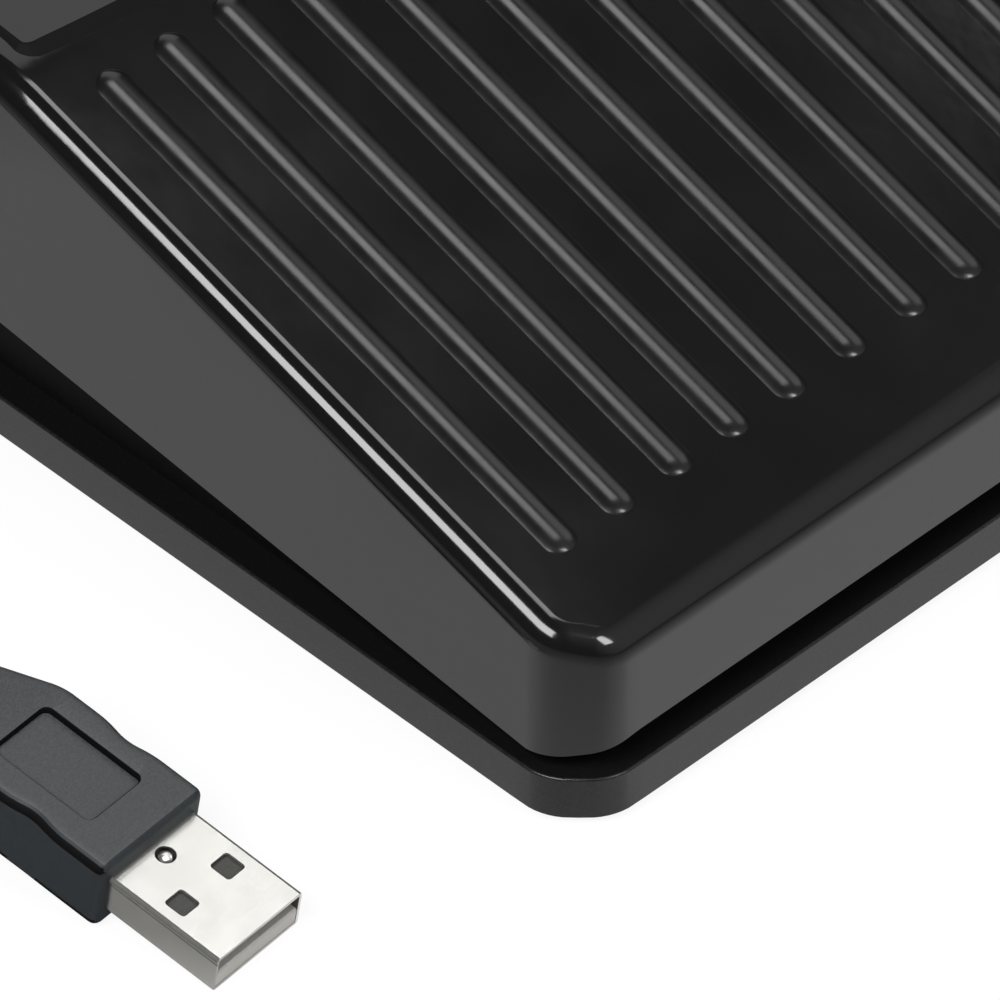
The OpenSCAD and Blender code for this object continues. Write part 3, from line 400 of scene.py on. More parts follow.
# Micro switch: a moulded case with soldered brass terminals, a sprung red plunger, and a stamped steel lever on a
# fine pin that the treadle's presser bears on.
# Moulded PBT is dull, gold plate and spring steel are bright with a soft stamped skin, and acetal has a waxy sheen.
switch_pbt = skin_finish("moulded_black_pbt", "#17181a", "#232427", 0.2, (0.42, 0.56), 0.006)
gold_brass = skin_finish("gold_plated_brass", "#c29a45", "#dab968", 0.2, (0.2, 0.32), 0.002, metallic=1)
lever_steel = skin_finish("stamped_spring_steel", "#a4a7aa", "#c3c6c9", 0.3, (0.22, 0.34), 0.003, metallic=1)
red_acetal = skin_finish("red_acetal", "#9c241d", "#b4342b", 0.2, (0.3, 0.42), 0.003, ior=1.48)
rounded_piece("switch_case", "switch_housing", switch_pbt, "switch_plastic", 0.15)
rounded_piece("switch_terminals", "switch_terminal_pins", gold_brass, "brass", 0.08)
rounded_piece("lever_pin", "lever_pivot", ground_steel, "bright_steel", 0.1)
rounded_piece("switch_lever", "switch_lever_strip", lever_steel, "spring_steel", 0.06, body="lever")
rounded_piece("switch_plunger", "switch_button", red_acetal, "plunger_plastic", 0.3, 3, body="plunger")

# Lead connection: a nylon header on the board, the nylon plug in it, and the four cores of the lead, which pass the
# spring on its right and meet in the jacket's cut end.
HEADER_X, HEADER_REAR, CORE_Z, CORE_R, CORE_SPREAD = 6.0, -2.2, 11.0, 0.55, 0.8
SPRING_Y, SPRING_D, JACKET_START = 7.7, 12.0, 44.3


def sweep(bm, route, radius, sides):
    """A round tube along a route, closed at both ends."""
    side = None
    rings = []
    for i, point in enumerate(route):
        ahead = (route[min(i + 1, len(route) - 1)] - route[max(i - 1, 0)]).normalized()
        side = ahead.orthogonal() if side is None else side - side.dot(ahead) * ahead
        side.normalize()
        up = ahead.cross(side)
        rings.append([bm.verts.new(point + x * side + y * up) for x, y in circle(radius, sides)])
    join_rings(bm, rings)


# Natural nylon is milky and satin. The cores' insulation is extruded PVC, satin in the four usual colours.
natural_nylon = skin_finish("natural_nylon", "#e2dcc9", "#efeadc", 0.3, (0.4, 0.52), 0.004, ior=1.53)
rounded_piece("cord_header", "board_header", natural_nylon, "nylon", 0.15)
rounded_piece("header_plug", "lead_connector", natural_nylon, "nylon", 0.25, 3)
core_tones = {"red": ("#9d231f", "#b5302a"), "white": ("#d9d6cf", "#e8e6e1"), "green": ("#27693b", "#307d47"),
              "black": ("#1a1a1b", "#242425")}
for i, (tone, (dark, light)) in enumerate(core_tones.items()):
    start_x = HEADER_X + 2 * (i - 1.5)
    end_x = -CORE_SPREAD if i % 2 == 0 else CORE_SPREAD
    past = SPRING_D / 2 + 2.2 + 2 * i * CORE_SPREAD
    near = (2.6 if i < 2 else 3.8) + end_x + CORE_SPREAD
    rise = CORE_SPREAD if i < 2 else -CORE_SPREAD
    core_route = smooth_route([
        (start_x, HEADER_REAR - 0.5, CORE_Z), (start_x, HEADER_REAR + 2.6, CORE_Z),
        (start_x + 1.4, HEADER_REAR + 5.1, CORE_Z - 0.1), (past - 1, HEADER_REAR + 8.1, CORE_Z - 0.5),
        (past, HEADER_REAR + 11.1, CORE_Z - 1), (past - 0.3, SPRING_Y + SPRING_D / 2, CORE_Z - 1.8),
        (past - 2.8, JACKET_START - 18, CORD_Z + 0.5 + 0.4 * rise), (near, JACKET_START - 9, CORD_Z + rise),
        (end_x, JACKET_START - 2, CORD_Z + rise), (end_x, JACKET_START + 0.3, CORD_Z + rise)], 6)
    insulation = skin_finish("pvc_core_" + tone, dark, light, 0.4, (0.38, 0.5), 0.004, ior=1.53)
    bm = bmesh.new()
    sweep(bm, core_route, CORE_R, 12)
    settle(bm, "core_" + tone, [insulation], "base", "wire_" + tone, "wire_" + tone, sharp=60)

# Lead entry: the jacket's end inside the base, held by a moulded clamp bar with two screws, and a moulded PVC strain
# relief whose flange and neck are caught in the curb and whose grooved nose bends with the lead.
NOSE_START, NOSE_PITCH, RELIEF_R, GROOVE_R = 63.6, 2.2, 3.4, 2.5
relief_profile = [(56.3, POLE_R), (56.3, 3.75), (56.55, 4), (57.6, 4), (57.8, 3.85), (57.8, 2.6), (59.6, 2.6),
                  (59.6, 3.1), (59.7, 3.3), (59.9, RELIEF_R), (63.3, RELIEF_R), (63.5, 3.3), (NOSE_START, 3.1)]
for i in range(4):
    start, radius = NOSE_START + i * NOSE_PITCH, RELIEF_R - 0.15 * i
    relief_profile += [(start + 0.1, GROOVE_R), (start + 0.9, GROOVE_R), (start + 1, radius - 0.25),
                       (start + 1.1, radius - 0.07), (start + 1.3, radius), (start + 1.9, radius),
                       (start + 2.1, radius - 0.07), (start + 2.2, radius - 0.25)]
relief_profile += [(72.5, GROOVE_R), (73.7, GROOVE_R), (73.9, 2.4), (RELIEF_END, 2.2), (RELIEF_END, POLE_R)]
# Moulded PVC: soft and satin, with a faint uneven skin.
relief_pvc = skin_finish("moulded_black_pvc", "#191919", "#232324", 0.3, (0.4, 0.52), 0.006, ior=1.53)
rounded_piece("cord_inner", "jacket_end", cord_pvc, "cord_jacket", 0.2)
rounded_piece("cord_clamp", "clamp_bar", satin_abs, "base_plastic", 0.3, 3)
rounded_piece("clamp_screws", "clamp_screw_pair", zinc_screw, "screw_steel", 0.15, 3)
along_y = Matrix.Rotation(-pi / 2, 4, "X")
bm = bmesh.new()
turned(bm, relief_profile, 48, Matrix.Translation((0, 0, CORD_Z)) @ along_y)
relief = settle(bm, "strain_relief_sleeve", [relief_pvc], "base", "cord_jacket", "strain_relief")

# Return spring: hard-drawn steel wire wound to seven turns, the end turns closed. It stands on the floor round its
# post, and pushes up in a cup under the treadle. Drawn wire is bright, with a fine skin from the die.
SPRING_LOW, SPRING_RISE, SPRING_TURNS, SPRING_WIRE, SPRING_FLOOR = 4.1, 24.6, 7.0, 0.6, 3.4
CLOSED_TURN, CLOSED_PITCH = 0.75, 1.3
drawn_steel = skin_finish("hard_drawn_steel", "#a2a5a8", "#c6c9cc", 0.2, (0.2, 0.32), 0.003, metallic=1)
spring_route = []
reach = SPRING_D / 2 - SPRING_WIRE
for k in range(int(SPRING_TURNS * TURN_STEPS) + 1):
    turn = k / TURN_STEPS
    open_share = min(1, max(0, (turn - CLOSED_TURN) / (SPRING_TURNS - 2 * CLOSED_TURN)))
    shut = min(turn, CLOSED_TURN) + max(0, turn - SPRING_TURNS + CLOSED_TURN)
    rise = CLOSED_PITCH * shut + (SPRING_RISE - 2 * CLOSED_PITCH * CLOSED_TURN) * open_share
    angle = 2 * pi * turn
    spring_route.append(Vector((reach * cos(angle), SPRING_Y + reach * sin(angle), SPRING_LOW + rise)))
bm = bmesh.new()
sweep(bm, spring_route, SPRING_WIRE, 16)
spring = settle(bm, "return_spring_coil", [drawn_steel], "base", "spring_steel", "return_spring", sharp=60)
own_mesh(spring)

# Treadle: the wedge that the foot presses, moulded in one piece of glossy black ABS with its skirt, its hinge
# bearings and its ribs. It is a thin shell, open below, with a soft round front edge and tighter side edges.
HALF_W, FRONT, REAR, CORNER, CORNER_BEND = 47.5, -64.5, 63.0, 8.0, 5.8
NOSE_R, SIDE_R, TAIL_R = 3.6, 2.8, 3.7
WALL, ROOF = 2.2, 2.4
SKIRT_Z, FRONT_LIFT, SKIRT_SLOPE = 6.9, 2.9, tan(radians(6.1))
TREAD_Z, TREAD_ANGLE, REAR_SLOPE = 22.0, radians(17.5), tan(radians(4))
TREAD_SLOPE = tan(TREAD_ANGLE)
BEND, BEND_SPAN = 14.0, 4.0
ARCH_R, ARCH_Z = 4.6, 20.13
HINGE_Y, HINGE_Z, BEARING_R, BORE_R, BEARING_X, BEARING_W = -54.3, 12.8, 4.2, 2.05, 29.0, 9.0
HOOK_X, HOOK_Y0, HOOK_Y1, HOOK_Z, TOE = 37.4, 38.7, 50.7, 15.38, 2.0
PRESS_Y, PRESS_Z, PRESS_R, PRESS_HALF = -28.66, 23.63, 1.5, 4
CUP_R, CUP_OUTER_R, CUP_SEAT, CUP_LOW, CUP_EDGE = 7.7, 9.5, 29.5, 25.4, 0.2
PEEL, RUB = 2.381, 16.667


def tread_top(y):
    """Height and slope of the treadle's top over a point of its length, with a soft bend under the platform."""
    past = y - (BEND - BEND_SPAN)
    height = TREAD_Z + (y - FRONT) * TREAD_SLOPE
    if past <= 0:
        return height, TREAD_SLOPE
    if past >= 2 * BEND_SPAN:
        return height - (TREAD_SLOPE - REAR_SLOPE) * (y - BEND), REAR_SLOPE
    turn = (TREAD_SLOPE - REAR_SLOPE) / (2 * BEND_SPAN)
    return height - turn * past * past / 2, TREAD_SLOPE - turn * past


def in_roof(y):
    """Height of the middle of the roof, where the parts under it end."""
    return tread_top(y)[0] - ROOF / 2


def treadle_plan(inset):
    """Round the treadle's plan: point, outward direction and edge radius, and where the side rows start and end."""
    x0, y0, y1 = HALF_W - CORNER, FRONT + CORNER, REAR - CORNER
    rows = [y0, y0 + 30, BEND - 2 * BEND_SPAN] + [BEND - BEND_SPAN + k for k in range(9)] + [BEND + 20, y1]
    arch = [ARCH_R * cos(pi * k / 16) for k in range(17)]
    plan = [(x, FRONT + inset, 0, -1, NOSE_R) for x in (-x0, -x0 / 3, x0 / 3)]

    def turn(cx, cy, start, r0, r1):
        for k in range(17):
            angle = 45 * (k - (k > 8)) / 8
            along, across = corner_out(angle, k > 8, CORNER - inset, CORNER_BEND - inset)
            a, c, d = radians(start + angle), cos(radians(start)), sin(radians(start))
            ease = (3 - 2 * angle / 90) * (angle / 90) ** 2
            plan.append((cx + along * c - across * d, cy + along * d + across * c, cos(a), sin(a),
                         r0 + (r1 - r0) * ease))

    turn(x0, y0, -90, NOSE_R, SIDE_R)
    right = len(plan)
    plan += [(HALF_W - inset, y, 1, 0, SIDE_R) for y in rows[:-1]]
    turn(x0, y1, 0, SIDE_R, TAIL_R)
    plan += [(x, REAR - inset, 0, 1, TAIL_R) for x in (x0, ARCH_R + 0.001, *arch, -ARCH_R - 0.001)]
    turn(-x0, y1, 90, TAIL_R, SIDE_R)
    left = len(plan)
    plan += [(inset - HALF_W, y, -1, 0, SIDE_R) for y in rows[:0:-1]]
    turn(-x0, y0, 180, SIDE_R, NOSE_R)
    return plan, right, left, len(rows)


def treadle_skin(bm, inset, drop, edge_steps):
    """One skin of the shell, from the skirt's lower edge over the rounded edges to the top. Returns its lowest ring."""
    plan, right, left, rows = treadle_plan(inset)
    rings = [[] for _ in range(edge_steps + 2)]
    for x, y, nx, ny, radius in plan:
        radius = max(0.6, radius - inset)
        out = Vector((nx, ny, 0))
        centre = Vector((x, y, 0)) - radius * out
        height, slope = tread_top(centre.y)
        up = Vector((0, -slope, 1)).normalized()
        centre.z = height - (drop + radius) / up.z
        swept = max(0, min(1, 1 - (y - inset * -ny - FRONT) / CORNER))
        low = SKIRT_Z + (y - FRONT) * SKIRT_SLOPE + FRONT_LIFT * asin(swept) / (pi / 2)
        if ny == 1 and abs(x) <= ARCH_R:
            low = ARCH_Z + sqrt(ARCH_R ** 2 - x * x)
        rings[0].append(bm.verts.new((x, y, low)))
        for k in range(edge_steps + 1):
            rings[k + 1].append(bm.verts.new(centre + radius * out.slerp(up, k / edge_steps)))
    wrap(bm, rings)
    top, count = rings[-1], len(plan)
    for k in range(rows - 1):
        r0, r1 = top[right + k], top[right + k + 1]
        l0, l1 = top[(left + rows - 1 - k) % count], top[(left + rows - 2 - k) % count]
        bm.faces.new((l0, r0, r1, l1))
    for start, end in ((left, right), (right, left)):
        bm.faces.new([top[(start + rows - 1 + k) % count] for k in range((end - start - rows + 1) % count + 1)])
    return rings[0]


def prism(bm, outline, x0, x1, number=0):
    """A closed bar between x0 and x1. The outline's points are along Y and up Z."""
    join_rings(bm, [[bm.verts.new((x, y, z)) for y, z in outline] for x in (x0, x1)], number)


def arc(y, z, radius, start, end, steps):
    """Points of an arc in Y and Z. Its angles are in degrees from straight down towards the rear."""
    turns = [radians(start + (end - start) * k / steps) for k in range(steps + 1)]
    return [(y + radius * sin(a), z - radius * cos(a)) for a in turns]


# Glossy ABS: moulded against polished steel, so it mirrors the studio with a faint orange peel
# of about 2 mm and fine rub marks.
gloss_abs, tree, shader = new_finish("polished_black_abs")
place = add_node(tree, "ShaderNodeTexCoord", output="Object")
peel = add_node(tree, "ShaderNodeTexNoise", {"Vector": place, "Scale": 1 / (PEEL * MM), "Detail": 1.5})
haze = add_node(tree, "ShaderNodeTexNoise", {"Vector": place, "Scale": 1 / (RUB * MM), "Detail": 5})
rubbed = add_node(tree, "ShaderNodeMapRange", {
    "Value": haze, "From Min": 0.35, "From Max": 0.7, "To Min": 0.09, "To Max": 0.13})
soft = add_node(tree, "ShaderNodeBump", {"Height": peel, "Strength": 0.05, "Distance": 0.2 * MM})
set_inputs(tree, shader, {"Base Color": linear("#111112"), "Roughness": rubbed, "Normal": soft, "IOR": 1.5})
bm = bmesh.new()
outer = treadle_skin(bm, 0, 0, 12)
inner = treadle_skin(bm, WALL, ROOF, 6)
wrap(bm, [inner, outer])
# Two bearings, open below, that snap on the hinge pin
bearing = arc(HINGE_Y, HINGE_Z, BORE_R, 51, 309, 24) + arc(HINGE_Y, HINGE_Z, BEARING_R, -22, -90, 8)
bearing += [(HINGE_Y + side * BEARING_R, in_roof(HINGE_Y + side * BEARING_R)) for side in (-1, 1)]
bearing += arc(HINGE_Y, HINGE_Z, BEARING_R, 90, 22, 8)
for x in (-BEARING_X, BEARING_X):
    prism(bm, bearing, x - BEARING_W / 2, x + BEARING_W / 2)
# Two hooks that stop its rise under the base's ledges
for side in (-1, 1):
    prism(bm, [(HOOK_Y0, HOOK_Z), (HOOK_Y1, HOOK_Z), (HOOK_Y1, in_roof(HOOK_Y1)), (HOOK_Y0, in_roof(HOOK_Y0))],
          side * HOOK_X, side * (HOOK_X + WALL))
    prism(bm, [(HOOK_Y0, HOOK_Z), (HOOK_Y1, HOOK_Z), (HOOK_Y1, HOOK_Z + TOE), (HOOK_Y0, HOOK_Z + TOE)],
          side * (HOOK_X + 1), side * (HOOK_X + WALL + TOE))
# The presser that bears on the switch's lever
prism(bm, arc(PRESS_Y, PRESS_Z, PRESS_R, -90, 90, 12)
      + [(PRESS_Y + side * PRESS_R, in_roof(PRESS_Y + side * PRESS_R)) for side in (1, -1)], -PRESS_HALF, PRESS_HALF)
# The cup that the return spring pushes in, its outside up to the roof
cup_profile = [(POLE_R, CUP_SEAT), (CUP_R, CUP_SEAT), (CUP_R, CUP_LOW + CUP_EDGE), (CUP_R + CUP_EDGE, CUP_LOW),
               (CUP_OUTER_R - CUP_EDGE, CUP_LOW), (CUP_OUTER_R, CUP_LOW + CUP_EDGE), (CUP_OUTER_R, None),
               (POLE_R, None)]
join_rings(bm, [[bm.verts.new((x, y, height or in_roof(y))) for x, y in circle(radius, 48, SPRING_Y)]
                for radius, height in cup_profile])
settle(bm, "treadle_shell", [gloss_abs], "treadle", "treadle_plastic", "treadle")

# Ribs: low round-backed bars moulded on the tread for grip, eleven side by side with the middle one a little
# further from its neighbours. Each is a grid of rows with an arched back, drawn in to a round nose at both ends.
# Rubbed ABS: soles have worn its gloss to satin, so each rib carries a softer line of light than the tread.
RIB_COUNT, RIB_FRONT, NOSE_STEPS = 11, 10.6, 12
rib_sizes = {"Width": 3.8, "Height": 0.5, "Length": 66.1, "Pitch": 7.6, "Middle pitch": 8.15}
rubbed_abs = skin_finish("rubbed_black_abs", "#101011", "#131314", 3, (0.2, 0.25), 0.001)
rib_tree, given = new_tree("ribs", dict.fromkeys(rib_sizes, "Float"))
rows = add_node(rib_tree, "GeometryNodeMeshGrid", {
    "Size X": 2, "Size Y": 2 * NOSE_STEPS + 1, "Vertices X": 33, "Vertices Y": 2 * NOSE_STEPS + 2})
spot = add_node(rib_tree, "GeometryNodeInputPosition")
known = {"Index": add_node(rib_tree, "GeometryNodeInputIndex")}
for socket in (*given, *add_node(rib_tree, "ShaderNodeSeparateXYZ", {0: spot}).node.outputs):
    known[socket.name] = socket
row_turn = pi / 2 / NOSE_STEPS
# Each sum has a name, an operation and its terms, which are numbers or the names of sums, inputs and coordinates
for name, operation, *terms in (
        # The rows: how far each is round its nose, and where it is along the rib
        ("half", "MULTIPLY", "Width", 0.5), ("from middle", "ABSOLUTE", "Y"),
        ("angle", "MULTIPLY_ADD", "from middle", -row_turn, (NOSE_STEPS + 0.5) * row_turn),
        ("sine", "SINE", "angle"), ("nose", "MAXIMUM", "sine", 0.001), ("cosine", "COSINE", "angle"),
        ("set back", "SUBTRACT", 1, "cosine"), ("from end", "MULTIPLY", "set back", "half"),
        ("end", "SIGN", "Y"), ("from end", "MULTIPLY", "from end", "end"), ("is rear", "GREATER_THAN", "Y", 0),
        ("along", "MULTIPLY", "is rear", "Length"), ("along", "SUBTRACT", "along", "from end"),
        # The back: an arc across the width, that sinks with the nose
        ("across", "MULTIPLY", "X", "half"), ("half squared", "MULTIPLY", "half", "half"),
        ("chord", "MULTIPLY_ADD", "Height", "Height", "half squared"), ("twice height", "MULTIPLY", "Height", 2),
        ("radius", "DIVIDE", "chord", "twice height"), ("radius squared", "MULTIPLY", "radius", "radius"),
        ("across squared", "MULTIPLY", "across", "across"),
        ("arc", "SUBTRACT", "radius squared", "across squared"), ("arc", "SQRT", "arc"),
        ("centre", "SUBTRACT", "radius", "Height"), ("dome", "SUBTRACT", "arc", "centre"),
        ("out", "MULTIPLY", "across", "nose"), ("up", "MULTIPLY", "dome", "nose"),
        # The places: even steps from the middle rib, the first a little longer
        ("step", "SUBTRACT", "Index", RIB_COUNT // 2), ("side", "SIGN", "step"),
        ("longer", "SUBTRACT", "Middle pitch", "Pitch"), ("longer", "MULTIPLY", "side", "longer"),
        ("sideways", "MULTIPLY_ADD", "step", "Pitch", "longer")):
    terms = {i: known.get(term, term) for i, term in enumerate(terms)}
    known[name] = add_node(rib_tree, "ShaderNodeMath", terms, operation=operation)
spot = add_node(rib_tree, "ShaderNodeCombineXYZ", {"X": known["out"], "Y": known["along"], "Z": known["up"]})
rib = add_node(rib_tree, "GeometryNodeSetPosition", {"Geometry": rows, "Position": spot})
rib = add_node(rib_tree, "GeometryNodeSetShadeSmooth", {0: rib})
places = add_node(rib_tree, "GeometryNodeMeshLine", {"Count": RIB_COUNT, "Offset": (0, 0, 0)})
spot = add_node(rib_tree, "ShaderNodeCombineXYZ", {"X": known["sideways"]})
places = add_node(rib_tree, "GeometryNodeSetPosition", {"Geometry": places, "Position": spot})
ribs = add_node(rib_tree, "GeometryNodeInstanceOnPoints", {"Points": places, "Instance": rib})
ribs = add_node(rib_tree, "GeometryNodeTransform", {
    "Geometry": ribs, "Rotation": (TREAD_ANGLE, 0, 0),
    "Translation": (0, RIB_FRONT * cos(TREAD_ANGLE) + FRONT, RIB_FRONT * sin(TREAD_ANGLE) + TREAD_Z)})
ribs = add_node(rib_tree, "GeometryNodeTransform", {"Geometry": ribs, "Scale": (MM, MM, MM)})
treadle_ribs = new_object("treadle_ribs", bpy.data.meshes.new("treadle_ribs"))
grow(treadle_ribs, rib_tree, ribs, rubbed_abs, rib_sizes)
declare(treadle_ribs, "treadle", "treadle_plastic")

# Platform: the smooth raised pad behind the ribs, part of the same moulding, with a bowed front edge and round
# corners. Its top is as glossy as the tread, and the soft step round it takes the matt, nearly black copy: a line of
# painted shade.
PAD_HALF, PAD_FRONT, PAD_REAR, PAD_RISE, PAD_BOW, PAD_CORNER = 43.8, 10.0, 56.0, 0.35, 300.0, 2.6
PAD_EDGE_X, PAD_EDGE_Y, PAD_SUNK, PAD_SLOPE, PAD_TURN = 1.2, 1.8, 0.05, REAR_SLOPE + 0.0155, 82
pad_plan = []
for k in range(33):
    x = (PAD_HALF - PAD_CORNER) * (k / 16 - 1)
    y = PAD_FRONT + PAD_BOW - sqrt(PAD_BOW ** 2 - x * x)
    pad_plan.append((x, y, x / PAD_BOW, -sqrt(1 - (x / PAD_BOW) ** 2)))
front_y, rear_y = pad_plan[-1][1] + PAD_CORNER, PAD_REAR - PAD_CORNER
for side, cy, start, span, steps in ((1, front_y, -PAD_TURN, PAD_TURN, range(1, 9)), (1, rear_y, 0, 90, range(9)),
                                     (-1, rear_y, 90, 90, range(9)), (-1, front_y, 180, PAD_TURN, range(8))):
    for k in steps:
        a = radians(start + span * k / 8)
        pad_plan.append((side * (PAD_HALF - PAD_CORNER) + PAD_CORNER * cos(a), cy + PAD_CORNER * sin(a),
                         cos(a), sin(a)))
bm = bmesh.new()
pad_rings = []
for k in range(13):
    share = k / 12
    climb = share * share * (3 - 2 * share)
    ring = []
    for x, y, nx, ny in pad_plan:
        px, py = x - PAD_EDGE_X * share * nx, y - PAD_EDGE_Y * share * ny
        low = tread_top(py)[0] - PAD_SUNK
        top = TREAD_Z + (BEND - FRONT) * TREAD_SLOPE + (py - BEND) * PAD_SLOPE + PAD_RISE
        ring.append(bm.verts.new((px, py, low + (top - low) * climb)))
    pad_rings.append(ring)
# The step takes the matt, nearly black copy: painted shade
wrap(bm, pad_rings, 1)
bm.faces.new(pad_rings[-1])
bm.faces.new(pad_rings[0][::-1])
settle(bm, "treadle_platform", [gloss_abs, matt_shade_abs], "treadle", "treadle_plastic")

# Coil tie: a flat strap of black nylon with soft edges, pulled snug round the loops of the put-away lead.
# Nylon strap: satin, with a slightly uneven skin from its rolling.
TIE_X0, TIE_X1, TIE_Y0, TIE_Y1, TIE_TOP, TIE_T, TIE_R, TIE_EDGE = -68.256, -50.3, 98.0, 102.0, 17.7, 0.5, 2.7, 0.15
tie_nylon = skin_finish("black_nylon_strap", "#1b1b1c", "#29292b", 0.4, (0.42, 0.55), 0.008, ior=1.53)


def round_box(x0, x1, z0, z1, radius, steps):
    """Points round a rectangle with rounded corners, from the lower right one by way of the upper right."""
    left, right, low, high = x0 + radius, x1 - radius, z0 + radius, z1 - radius
    ring = []
    for cx, cz, start in ((right, low, -90), (right, high, 0), (left, high, 90), (left, low, 180)):
        for k in range(steps + 1):
            a = radians(start + 90 * k / steps)
            ring.append((cx + radius * cos(a), cz + radius * sin(a)))
    return ring


bm = bmesh.new()
strap_rings = []
for inset, y in ((0, TIE_Y0 + TIE_EDGE), (TIE_EDGE, TIE_Y0), (TIE_T - TIE_EDGE, TIE_Y0), (TIE_T, TIE_Y0 + TIE_EDGE),
                 (TIE_T, TIE_Y1 - TIE_EDGE), (TIE_T - TIE_EDGE, TIE_Y1), (TIE_EDGE, TIE_Y1), (0, TIE_Y1 - TIE_EDGE)):
    strap_rings.append([bm.verts.new((x, y, z)) for x, z in round_box(
        TIE_X0 + inset, TIE_X1 - inset, inset, TIE_TOP - inset, TIE_R - inset, 8)])
wrap(bm, strap_rings + strap_rings[:1])
tie = settle(bm, "coil_tie_strap", [tie_nylon], "base", "tie_plastic", "cord_tie")

# Plug shell: a sleeve of nickel-plated steel sheet, folded to shape, with a fine groove along both sides just under
# the top. Two square windows take the socket's springs, and a dimple behind them holds the sleeve on its tongue.
SHELL_W, SHELL_H, SHELL_L, SHEET, LIP, FOLD_R, FOLD_STEPS = 12.0, 4.5, 17.5, 0.3, 0.06, 0.4, 6
WINDOW_X, WINDOW_Y, WINDOW_W, WINDOW_R, DIMPLE_Y, DIMPLE_R = 3.2, 6.9, 2.5, 0.4, 11.8, 1.05
GROOVE_DEEP, GROOVE_LOW, GROOVE_HIGH, OVER = 0.12, SHELL_H - 0.75, SHELL_H - 0.58, 1
OUTSIDE, INSIDE = 1, 3
dimple_profile = [(-1.1, POLE_R), (-1.1, 0.7), (-0.3, 0.7), (-0.16, 0.6), (-0.1, 0.36), (-0.09, POLE_R)]


def cut(bm, cutter):
    """Takes a cutter out of a mesh. A cut face keeps the cutter's material number."""
    pieces = []
    for part in (bm, cutter):
        bmesh.ops.recalc_face_normals(part, faces=part.faces)
        mesh = bpy.data.meshes.new("cut")
        part.to_mesh(mesh)
        part.free()
        pieces.append(new_object("cut", mesh))
    modifier = pieces[0].modifiers.new("cut", "BOOLEAN")
    modifier.operation, modifier.solver, modifier.object = "DIFFERENCE", "EXACT", pieces[1]
    bake(pieces[0])
    result = bmesh.new()
    result.from_mesh(pieces[0].data)
    for piece in pieces:
        bpy.data.objects.remove(piece)
    return result


def upright(bm, outline, z0, z1, number=0):
    """A closed block that stands between two heights, its outline in X and Y."""
    join_rings(bm, [[bm.verts.new((x, y, z)) for x, y in outline] for z in (z0, z1)], number)


def plug_piece(bm, name, materials, slot, node, sharp=30):
    """A finished piece of the plug, from a mesh that lies level with its tip at the origin."""
    bmesh.ops.transform(bm, matrix=plug_place, verts=bm.verts)
    return settle(bm, name, materials, "base", slot, node, sharp=sharp)


# Nickel plate: nearly white, and a soft mirror with the slight waves of the sheet. The top folds, the groove and the
# inside take a dull grey copy of it, which reads as a plain grey: painted shade.
nickel_sheet = skin_finish("nickel_plated_sheet", "#f7f6f1", "#fbfaf5", 2.5, (0.22, 0.235), 0.0003, metallic=1)
shade_nickel = skin_finish("painted_shade_nickel", "#50504d", "#585855", 0.5, (0.5, 0.6), 0.002, specular=0.2)
bm = bmesh.new()
sheet_rings = []
for inset, y in ((LIP, 0), (0, LIP), (0, SHELL_L), (SHEET, SHELL_L), (SHEET, LIP), (SHEET - LIP, 0)):
    half = SHELL_W / 2 - inset
    sheet_rings.append([bm.verts.new((x, y, z)) for x, z in round_box(
        -half, half, inset, SHELL_H - inset, FOLD_R - inset, FOLD_STEPS)])
# The top folds and the inside take the dull grey copy: painted shade
for number, strip in enumerate(wrap(bm, sheet_rings + sheet_rings[:1])):
    for i, face in enumerate(strip):
        corner, step = divmod(i, FOLD_STEPS + 1)
        top_fold = number == OUTSIDE and corner in (1, 2) and step < FOLD_STEPS
        face.material_index = 1 if top_fold or number == INSIDE else 0
cutter = bmesh.new()
for x in (-WINDOW_X, WINDOW_X):
    upright(cutter, round_box(x - WINDOW_W / 2, x + WINDOW_W / 2, WINDOW_Y - WINDOW_W / 2, WINDOW_Y + WINDOW_W / 2,
                              WINDOW_R, 5), -OVER, SHELL_H + OVER)
upright(cutter, circle(DIMPLE_R, 32, DIMPLE_Y), SHELL_H - 2 * SHEET, SHELL_H + OVER)
# The groove's cut faces take the dull grey copy: painted shade
for side in (-1, 1):
    x0, x1 = side * (SHELL_W / 2 - GROOVE_DEEP), side * (SHELL_W / 2 + 0.5)
    upright(cutter, [(x0, -OVER), (x1, -OVER), (x1, SHELL_L + OVER), (x0, SHELL_L + OVER)], GROOVE_LOW, GROOVE_HIGH, 1)
bm = cut(bm, cutter)
turned(bm, dimple_profile, 32, Matrix.Translation((0, DIMPLE_Y, SHELL_H)))
shell = plug_piece(bm, "plug_shell_sleeve", [nickel_sheet, shade_nickel], "plug_nickel", "plug_shell")

# Plug tongue and contacts: a white moulded tongue in the lower half of the shell with a root behind it, and four
# gold-plated strips on its top, the outer two longer, so that power meets first. The root's top and a block under each
# window are dark grey: painted shade seen through the dimple and windows. Moulded PBT is dull, so its tone hardly
# changes with the light.
TONGUE_HALF, TONGUE_TIP, TONGUE_LOW, ROOT_Y, ROOT_TOP = 5.65, 0.1, 0.31, 9.5, 3.4
BLOCK_HALF, BLOCK_Y0, BLOCK_Y1, BLOCK_LOW, BLOCK_TOP = 1.8, 5.0, 9.6, 2.6, 3.95
CONTACT_HALF, CONTACT_TOP = 0.5, PLUG_MID + 0.2
white_pbt = skin_finish("moulded_white_pbt", "#a09f9a", "#aba9a4", 0.3, (0.4, 0.5), 0.004)
shade_grey_pbt = skin_finish("painted_shade_grey_pbt", "#3c3d3a", "#444542", 0.3, (0.5, 0.6), 0.004, specular=0.2)
bm = bmesh.new()
prism(bm, [(TONGUE_TIP, TONGUE_LOW), (SHELL_L, TONGUE_LOW), (SHELL_L, ROOT_TOP), (ROOT_Y, ROOT_TOP), (ROOT_Y, PLUG_MID),
           (TONGUE_TIP + 0.2, PLUG_MID), (TONGUE_TIP, PLUG_MID - 0.2)], -TONGUE_HALF, TONGUE_HALF)
